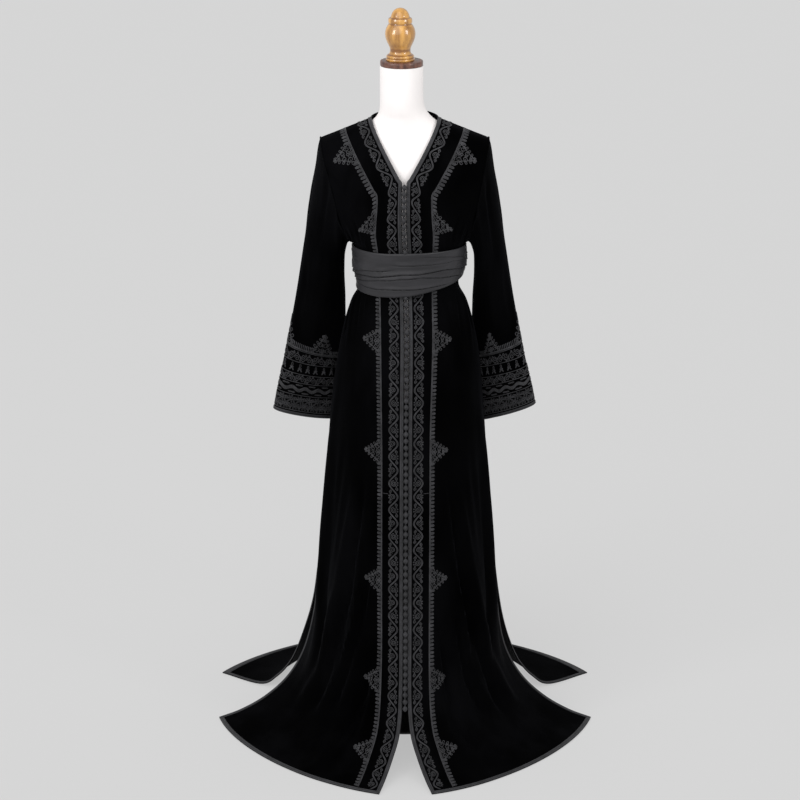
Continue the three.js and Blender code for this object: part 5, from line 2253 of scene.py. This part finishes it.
@dataclass
class CordWork:
    """Cords couched on one piece of cloth, and what is built from them.

    Attributes:
        place: gives points over the cloth from a distance along, a distance across and a lift.
        wide: half a cord's width.
        high: half a cord's height.
    """

    place: Callable[[Array, Array, Array | float], tuple[Array, Array]]
    wide: float = 0.95
    high: float = 0.7
    mesh: Mesh = field(default_factory=Mesh)

    def couch(self, line: Line, wide: float | None = None, closed: bool = False,
              over: float = 0.0) -> None:
        """Lays one cord.

        Args:
            line: its points along and across.
            wide: half its width, where it isn't the usual cord.
            closed: whether it joins up.
            over: how far over the usual lift it lies.
        """
        half = self.wide if wide is None else wide
        high = self.high * half / self.wide
        points, out = self.place(line[0], line[1], high * 0.75 + over)
        self.mesh.add(*tube(points, out, half, high, 5, closed))

    def sewn(self, node: str, finish: bpy.types.Material) -> bpy.types.Object:
        """All the cords as one piece that stands for a node."""
        return self.mesh.build(f"corded_{node}", finish, [node], "cord", sharp=180)

    def straight(self, begin: float, end: float, far: float, step: float = 5.0,
                 wide: float | None = None) -> None:
        """Lays a cord along the band."""
        run = np.linspace(begin, end, max(2, round((end - begin) / step)))
        self.couch((run, np.full_like(run, far)), wide)

    def wave(self, begin: float, end: float, far: float, deep: float, period: float,
             phase: float = 0.0, wide: float | None = None) -> None:
        """Lays a waving cord along the band.

        Args:
            begin: where it begins along the band.
            end: where it ends.
            far: its middle line across.
            deep: how far it swings.
            period: the length of one wave.
            phase: the share of a wave at its start.
            wide: half the cord's width, where it isn't the usual cord.
        """
        run = np.linspace(begin, end, max(2, round((end - begin) / period * 16)))
        swing = deep * np.sin(2 * np.pi * ((run - begin) / period + phase))
        self.couch((run, far + swing), wide)

    def oval(self, run: float, far: float, long: float, wide: float, hand: int, turns: float = 1.9) -> None:
        """Lays an oval spiral.

        Args:
            run: its middle along the band.
            far: its middle across the band.
            long: half its length.
            wide: half its width.
            hand: 1 or -1, the way it turns.
            turns: how many times it goes round.
        """
        along, across = curl(0, 0, 1, 0.16, 90, turns, hand, 22)
        self.couch((run + along * long, far + across * wide))

    def vine(self, begin: float, end: float, far: float, half: float, pitch: float) -> None:
        """Lays a vine of two cords that waves from side to side, with a large curl in each bay.

        Args:
            begin: where it begins along the band.
            end: where it ends.
            far: its middle line across.
            half: half its width.
            pitch: the length of one bay, half a wave.
        """
        bays = max(2, round((end - begin) / pitch))
        long = (end - begin) / bays
        for aside in (-1.15, 1.15):
            self.wave(begin, end, far + aside, half - 2.2, 2 * long, 0, 0.85)
        for k in range(bays):
            sign = 1 if k % 2 == 0 else -1
            start, middle = begin + k * long, begin + (k + 0.5) * long
            side, size = far - sign * half * 0.12, half * 0.63
            self.couch(curl(middle, side, size, size * 0.16, 90 + 90 * sign, 2.0, -sign, 30), 0.85)
            for turn in (-50, -18, 18, 50):
                a = math.radians(turn - 90 * sign)
                self.couch(petal(middle + size * 0.98 * math.cos(a), side + size * 0.98 * math.sin(a), 2.6,
                                 1.4, turn - 90 * sign, 7), 0.75, True)
            for hand in (-1, 1):
                self.couch(curl(start - hand * 3.2, far + hand * sign * half * 0.6, half * 0.33,
                                half * 0.08, 90 - 90 * hand, 1.4, hand * sign, 14), 0.8)

    def scroll(self, begin: float, end: float, far: float, half: float, pitch: float) -> None:
        """Lays a running scroll: a vine that waves from side to side, with a curl in each bay.

        Args:
            begin: where it begins along the band.
            end: where it ends.
            far: its middle line across.
            half: half its width.
            pitch: the length of one bay, half a wave.
        """
        bays = max(2, round((end - begin) / pitch))
        long = (end - begin) / bays
        self.wave(begin, end, far, half * 0.62, 2 * long)
        for k in range(bays):
            sign = 1 if k % 2 == 0 else -1
            middle = begin + (k + 0.5) * long
            size = min(half * 0.62, long * 0.42)
            self.couch(curl(middle, far - sign * half * 0.3, size, size * 0.2, 180, 1.4, -sign))
            self.couch(petal(begin + k * long, far + sign * half * 0.42, half * 0.5, half * 0.17,
                             90 * sign + 20), 0.75, True)
            self.couch(petal(middle, far + sign * half * 0.68, half * 0.28, half * 0.2, 90 * sign, 9),
                       0.7, True)

    def comb(self, begin: float, end: float, foot: float, tip: float, pitch: float,
             gaps: Sequence[tuple[float, float]] = (), fine: bool = False) -> None:
        """Lays a comb: two cords side by side with blunt teeth along them.

        Args:
            begin: where it begins along the band.
            end: where it ends.
            foot: the first cord's distance across.
            tip: how far out the teeth reach.
            pitch: the distance between teeth.
            gaps: stretches without teeth.
            fine: makes each tooth one cord.
        """
        for k in range(2):
            self.straight(begin, end, foot + self.wide + 1.8 * k)
        root = foot + 3.6
        teeth = round((end - begin) / pitch)
        for x in begin + (np.arange(teeth) + 0.5) * (end - begin) / teeth:
            if any(low < x < high for low, high in gaps):
                continue
            if fine:
                self.couch((np.full(3, x), np.array([root, (root + tip) / 2, tip])), 1.15)
                continue
            half = pitch * 0.25
            run = x + half * np.array([-1, -1.05, -0.8, 0, 0.8, 1.05, 1])
            far = root + (tip - root) * np.array([0, 0.55, 0.88, 1, 0.88, 0.55, 0])
            self.couch((run, far), 0.95)
            self.couch((np.full(3, x), root + (tip - root) * np.array([0, 0.45, 0.85])), 1.2)

    def peak(self, run: float, foot: float, tip: float, half: float) -> None:
        """Lays one pointed motif: a stack of curls inside a scalloped edge.

        Args:
            run: its middle along the band.
            foot: where it stands across the band.
            tip: where its point is.
            half: half its length along the band.
        """
        tall = tip - foot
        self.wave(run - half, run + half, foot + 1.2, 0.8, half / 3, 0, 1.0)
        for hand in (-1, 1):
            for along, up, size, turns in PEAK_CURLS:
                self.couch(curl(run + hand * half * along, foot + tall * up, tall * size,
                                tall * 0.03, 90 - 90 * hand, turns, hand, 22), 0.85)
            for along, up, turn, long in PEAK_PETALS:
                way = turn if hand > 0 else 180 - turn
                self.couch(petal(run + hand * half * along, foot + tall * up, tall * long,
                                 tall * long * 0.4, way, 9), 0.8, True)
            share = np.linspace(0, 1, 30)
            edge = half * (1 - share) ** 1.15 + 1.5 * np.abs(np.sin(4.5 * np.pi * share)) * (1 - share)
            self.couch((run + hand * np.maximum(edge, 0.3), foot + tall * 0.96 * share), 0.95)
        self.couch(petal(run, foot + tall * 0.03, tall * 0.28, tall * 0.07, 90), 1.0, True)
        self.oval(run, foot + tall * 0.46, tall * 0.1, tall * 0.09, 1, 1.2)
        self.oval(run, foot + tall * 0.72, tall * 0.07, tall * 0.08, -1, 1.2)
        for turn in (28, 90, 152):
            self.couch(petal(run, tip - tall * 0.1, tall * 0.14, tall * 0.045, turn, 9), 0.9, True)

    def rosette(self, run: float, far: float, size: float, petals: int = 8) -> None:
        """Lays a flower of drops round a ring.

        Args:
            run: its middle along the band.
            far: its middle across the band.
            size: its radius.
            petals: how many drops it has.
        """
        a = np.linspace(0, 2 * np.pi, 9, endpoint=False)
        self.couch((run + size * 0.24 * np.cos(a), far + size * 0.24 * np.sin(a)), 0.85, True)
        for k in range(petals):
            turn = 360 * (k + 0.5) / petals
            c, s = math.cos(math.radians(turn)), math.sin(math.radians(turn))
            self.couch(petal(run + size * 0.34 * c, far + size * 0.34 * s, size * 0.66,
                             size * 0.17, turn, 9), 0.75, True)


BEAD_R = 1.3


def beads(name: str, points: Array, out: Array, finish: bpy.types.Material) -> bpy.types.Object:
    """Small round beads on the cloth, as one piece.

    Args:
        name: the piece's name.
        points: where the beads lie.
        out: the outward normal at each.
        finish: their material.

    Returns:
        The object.
    """
    mesh = Mesh()
    poles = np.radians([70, 38, 0, -38, -70])
    turn = np.linspace(0, 2 * np.pi, 8, endpoint=False)
    for p, n in zip(points, out):
        side = unit(np.cross(n, [0.0, 0.0, 1.0]))
        up = np.cross(side, n)
        ring = side * np.cos(turn)[None, :, None] + up * np.sin(turn)[None, :, None]
        ball = ring * np.cos(poles)[:, None, None] + n * np.sin(poles)[:, None, None]
        where = p + n * BEAD_R * 0.7 + ball * BEAD_R
        faces = facing_out(where, capped(len(poles), len(turn)))
        mesh.add(where, faces, turn[None] + 0 * poles[:, None], poles[:, None] + 0 * turn[None])
    return mesh.build(name, finish, [], "braid", sharp=180)


MOTIF_HEIGHTS = (1384, 1233, 961, 712, 417, 194, 55)
MOTIF_HALF = 23.0


@dataclass
class FrontCording:
    """The corded bands down one front."""

    front: Front
    finishes: Finishes
    pitch: float = 31
    tooth: float = 9.0
    join_high: float = 618

    def band(self) -> bpy.types.Object:
        """The scroll band beside the closing.

        Returns:
            The object.
        """
        middle = (LINES.band_from + LINES.band_to) / 2
        end = self.front.length(middle)

        def place(run: Array, far: Array, lift: Array | float) -> tuple[Array, Array]:
            """Points over the front, measured along the band's middle."""
            return self.front.place(run, far, lift, middle)

        work = CordWork(place)
        work.vine(1.5, end, middle, (LINES.band_to - LINES.band_from) / 2 + 0.6, self.pitch)
        join = self.front.run_at(self.join_high, middle)
        work.couch((np.full(5, join), np.linspace(LINES.band_to + 1, LINES.comb_from - 1, 5)), 0.6)
        return work.sewn(f"scroll_band_{self.front.side.word}", self.finishes.cord)

    def edge(self) -> bpy.types.Object:
        """The comb band with its pointed motifs.

        Returns:
            The object.
        """
        line = LINES.comb_to
        end = self.front.length(line)

        def place(run: Array, far: Array, lift: Array | float) -> tuple[Array, Array]:
            """Points over the front, measured along the comb line."""
            return self.front.place(run, far, lift, line)

        work = CordWork(place)
        middles = [self.front.run_at(high, line) for high in MOTIF_HEIGHTS]
        gaps = [(m - MOTIF_HALF + 2, m + MOTIF_HALF - 2) for m in middles]
        work.comb(1.5, end, LINES.comb_from, LINES.comb_to + 3, self.tooth, gaps)
        for middle in middles:
            half = min(MOTIF_HALF, end - middle - 1)
            work.peak(middle, LINES.comb_from + 4, LINES.tip - 1, half)
        return work.sewn(f"comb_band_{self.front.side.word}", self.finishes.cord)


@dataclass
class CuffCording:
    """The corded cuff of one sleeve, in rows from its hem up.

    Attributes:
        peaks: the pointed motifs' shares of the way round.
        plain: the straight cords' distances up.
        strands: the waving cords' distances from their middle, and half widths.
        star: each star's drops: the way it points, its length and its half width.
        flower_pitch: how far apart the flowers and the stars are.
        flower_rows: the two rows of flowers, as distances up and sizes.
        wave_pitch: how long one wave is.
        wave_row: the waving cords' distance up, and how far they swing.
        star_row: the stars' distance up.
        scrolls: each scroll's distance up, half its width and the length of a bay.
        comb: the comb's foot and tip, and the distance between its teeth.
        motif: the motifs' foot and tip, and half their length.
        motif_gap: half the stretch without teeth at a motif.
        bead_rows: the beads' distances up, on the stars and in the flowers.
    """

    sleeve: Sleeve
    finishes: Finishes
    peaks: tuple[float, ...] = (-0.006, 0.29, 0.52, 0.75)
    plain: tuple[float, ...] = (13.5, 56.5, 89, 111.5, 141, 170)
    strands: tuple[tuple[float, float], ...] = ((-3.6, 1.0), (-1.2, 1.05), (1.2, 1.05), (3.6, 1.0))
    star: tuple[tuple[float, float, float], ...] = (
        *((90, 11, 2.6), (236, 10, 1.3), (304, 10, 1.3), (0, 4.4, 1.3), (180, 4.4, 1.3)),
    )
    flower_pitch: float = 23
    flower_rows: tuple[tuple[float, float], ...] = ((27, 11), (44, 10))
    wave_pitch: float = 34
    wave_row: tuple[float, float] = (72.5, 3.6)
    star_row: float = 126
    scrolls: tuple[tuple[float, float, float], ...] = ((100.3, 10.5, 15), (153.5, 12.5, 17.5))
    comb: tuple[float, float, float] = (172, 187, 5.4)
    motif: tuple[float, float, float] = (174, 231, 25)
    motif_gap: float = 21
    bead_rows: tuple[float, float] = (126.5, 27.0)

    @cached_property
    def whole(self) -> float:
        """The whole way round the hem."""
        return float(self.sleeve.round[-1])

    @cached_property
    def count(self) -> int:
        """How many flowers, and how many stars, go round."""
        return round(self.whole / self.flower_pitch)

    def flowers(self, work: CordWork) -> None:
        """Lays two rows of flowers, with curls and buds between them.

        Args:
            work: the cords of this cuff.
        """
        low, high = self.flower_rows
        for k in range(self.count):
            run = (k + 0.5) * self.whole / self.count
            work.rosette(run, *low)
            work.rosette(run + self.whole / self.count / 2, *high, 7)
            work.couch(curl(run + 11.4, 24.5, 5.4, 1, 180, 1.5, 1))
            work.couch(curl(run, 46.5, 5.4, 1, 0, 1.5, -1))
            work.couch(petal(run + 11.4, 15, 6, 2, 90, 7), 0.9, True)

    def waves(self, work: CordWork) -> None:
        """Lays the waving cords, with drops on both sides of them.

        Args:
            work: the cords of this cuff.
        """
        waves = round(self.whole / self.wave_pitch)
        middle, swing = self.wave_row
        for aside, wide in self.strands:
            work.wave(0, self.whole, middle + aside, swing, self.whole / waves, 0, wide)
        for k in range(waves):
            for part, far in ((0.25, 62.5), (0.75, 83)):
                for hand in (-1, 1):
                    run = (k + part + 0.25 * hand) * self.whole / waves
                    work.couch(petal(run, far, 8.5, 1.6, 90 + 90 * hand, 9), 0.85, True)

    def stars(self, work: CordWork) -> None:
        """Lays the row of stars.

        Args:
            work: the cords of this cuff.
        """
        for k in range(self.count):
            run = (k + 0.5) * self.whole / self.count
            for turn, long, wide in self.star:
                work.couch(petal(run, self.star_row, long, wide, turn, 9), 0.85, True)

    def crown(self, work: CordWork) -> None:
        """Lays the comb along the cuff's top and the pointed motifs over it.

        Args:
            work: the cords of this cuff.
        """
        middles = [share * self.whole for share in self.peaks]
        gap = self.motif_gap
        gaps = [(m + turn - gap, m + turn + gap) for m in middles for turn in (0, self.whole)]
        work.comb(0, self.whole, *self.comb, gaps, fine=True)
        for middle in middles:
            work.peak(middle, *self.motif)

    def build(self) -> list[bpy.types.Object]:
        """The whole cuff with its beads.

        Returns:
            The cords and the beads.
        """
        def place(run: Array, far: Array, lift: Array | float) -> tuple[Array, Array]:
            """Points over the sleeve, measured round its hem and up from it."""
            return self.sleeve.place(run / self.whole, far, lift)

        work = CordWork(place)
        for far in self.plain:
            work.straight(0, self.whole, far, 3.6)
        self.flowers(work)
        self.waves(work)
        work.scroll(0, self.whole, *self.scrolls[0])
        self.stars(work)
        work.scroll(0, self.whole, *self.scrolls[1])
        self.crown(work)
        cords = work.sewn(f"cuff_cording_{self.sleeve.side.word}", self.finishes.cord)
        rounds = np.array([(k + 0.5) / self.count for k in range(self.count)] * 2)
        ups = np.repeat(self.bead_rows, self.count)
        points, out = self.sleeve.place(rounds, ups, 1.2)
        return [cords, beads(f"jet_beads_{self.sleeve.side.word}", points, out, self.finishes.bead)]


@dataclass
class Closing:
    """The knotted silk buttons down the middle, each with a loop of cord on both fronts."""

    fronts: dict[Side, Front]
    finishes: Finishes
    pitch: float = 15.6
    knot: tuple[float, float, float] = (5.4, 6.3, 4.6)
    raised: float = 3.6
    cord: tuple[float, float, int] = (1.7, 1.6, 8)
    loop_cord: tuple[float, float, int] = (0.7, 0.6, 5)
    loop: tuple[tuple[float, float], ...] = (
        *((-2.2, 0.3), (-2.2, 1.2), (-1.7, 2.2), (0, 2.8), (1.7, 2.2), (2.2, 1.2), (2.2, 0.3)),
    )
    runs: tuple[tuple[str, float, float], ...] = (
        ("buttons_bodice", 1318, 1168),
        ("buttons_skirt", 1057, 140),
    )

    def middle(self) -> Array:
        """The line down the middle of the closing.

        Returns:
            The points, from the top down.
        """
        t = np.linspace(0, PATTERN.last, 2000)
        zero = np.zeros_like(t)
        return (PATTERN.front(-1, zero, t) + PATTERN.front(1, zero, t)) / 2

    def ball(self, place: Array, out: Array, down: Array) -> tuple[Array, list[Array], Array, Array]:
        """One knot: a round button whose strands cross.

        Args:
            place: its middle.
            out: the way it faces.
            down: the way the closing runs.

        Returns:
            Its points, faces and lay.
        """
        poles = np.linspace(-80, 80, 9)
        turns = np.linspace(0, 2 * np.pi, 14, endpoint=False)
        lat, lon = np.meshgrid(np.radians(poles), turns, indexing="ij")
        weave = 1 + 0.09 * np.cos(4 * lon + 3 * lat) * np.cos(lat) + 0.05 * np.cos(5 * lat)
        side = np.cross(down, out)
        wide, long, deep = self.knot
        points = place + (side * (wide * np.cos(lat) * np.cos(lon) * weave)[..., None]
                          + out * (deep * np.cos(lat) * np.sin(lon) * weave)[..., None]
                          + down * (long * np.sin(lat) * weave)[..., None])
        return points, facing_out(points, capped(*lat.shape)), lon * wide, lat * long

    def run(self, name: str, begin: float, end: float) -> bpy.types.Object:
        """One run of buttons.

        Args:
            name: the node it stands for.
            begin: the height of its first button.
            end: the height of its last.

        Returns:
            The object.
        """
        line = self.middle()
        line = line[(line[:, 2] <= begin) & (line[:, 2] >= end)]
        line = spaced(line, self.pitch)
        down = unit(np.gradient(line, axis=0))
        across = np.array([1.0, 0, 0])
        out = unit(np.cross(down, across))
        out *= np.sign(-out[:, 1:2])
        mesh = Mesh()
        rows = np.linspace(0, len(line) - 1, 4 * len(line))
        cord = np.stack([np.interp(rows, np.arange(len(line)), line[:, k]) for k in range(3)], 1)
        normals = np.stack([np.interp(rows, np.arange(len(line)), out[:, k]) for k in range(3)], 1)
        mesh.add(*tube(cord, unit(normals), *self.cord))
        for place, face, way in zip(line, out, down):
            mesh.add(*self.ball(place + face * self.raised, face, way))
        along, far = np.array(self.loop).T
        for front in self.fronts.values():
            for place in line:
                run = front.run_at(float(place[2]), 0.0)
                points, face = front.place(run + along, far, BRAID_THICK + self.loop_cord[0], 0.0)
                mesh.add(*tube(points, face, *self.loop_cord))
        return mesh.build(f"knotted_{name}", self.finishes.braid, [name], "braid", sharp=180)

    def build(self) -> None:
        """Both runs."""
        for name, begin, end in self.runs:
            self.run(name, begin, end)


# ---------------------------------------------------------------- the whole
def main() -> None:
    """Builds the caftan on its form and the studio round it."""
    logging.basicConfig(level=logging.INFO, format="%(name)s: %(message)s")
    finishes = Finishes()
    Studio(finishes).build()
    fronts = {side: Front(side, finishes) for side in Side}
    for side, front in fronts.items():
        cording = FrontCording(front, finishes)
        front.cloth.declare(front.velvet(), "draped", ["jersey_torso"],
                            [front.edge(), cording.band(), cording.edge()])
        sleeve = Sleeve(side, finishes)
        sleeve.cloth.declare(sleeve.velvet(), "hung", [f"velvet_front_{side.word}", "velvet_back"],
                             [sleeve.hem(), sleeve.seam(), *CuffCording(sleeve, finishes).build()])
    back = Back(finishes)
    back.cloth.declare(back.velvet(), "draped", ["jersey_torso"], [back.edge(), back.neck()])
    Closing(fronts, finishes).build()
    sash = Sash(finishes)
    sash.cloth.declare(sash.satin(), "gathered", ["velvet_front_left", "velvet_front_right", "velvet_back"])
    DressForm(finishes).build()


if __name__ == "__main__":
    main()
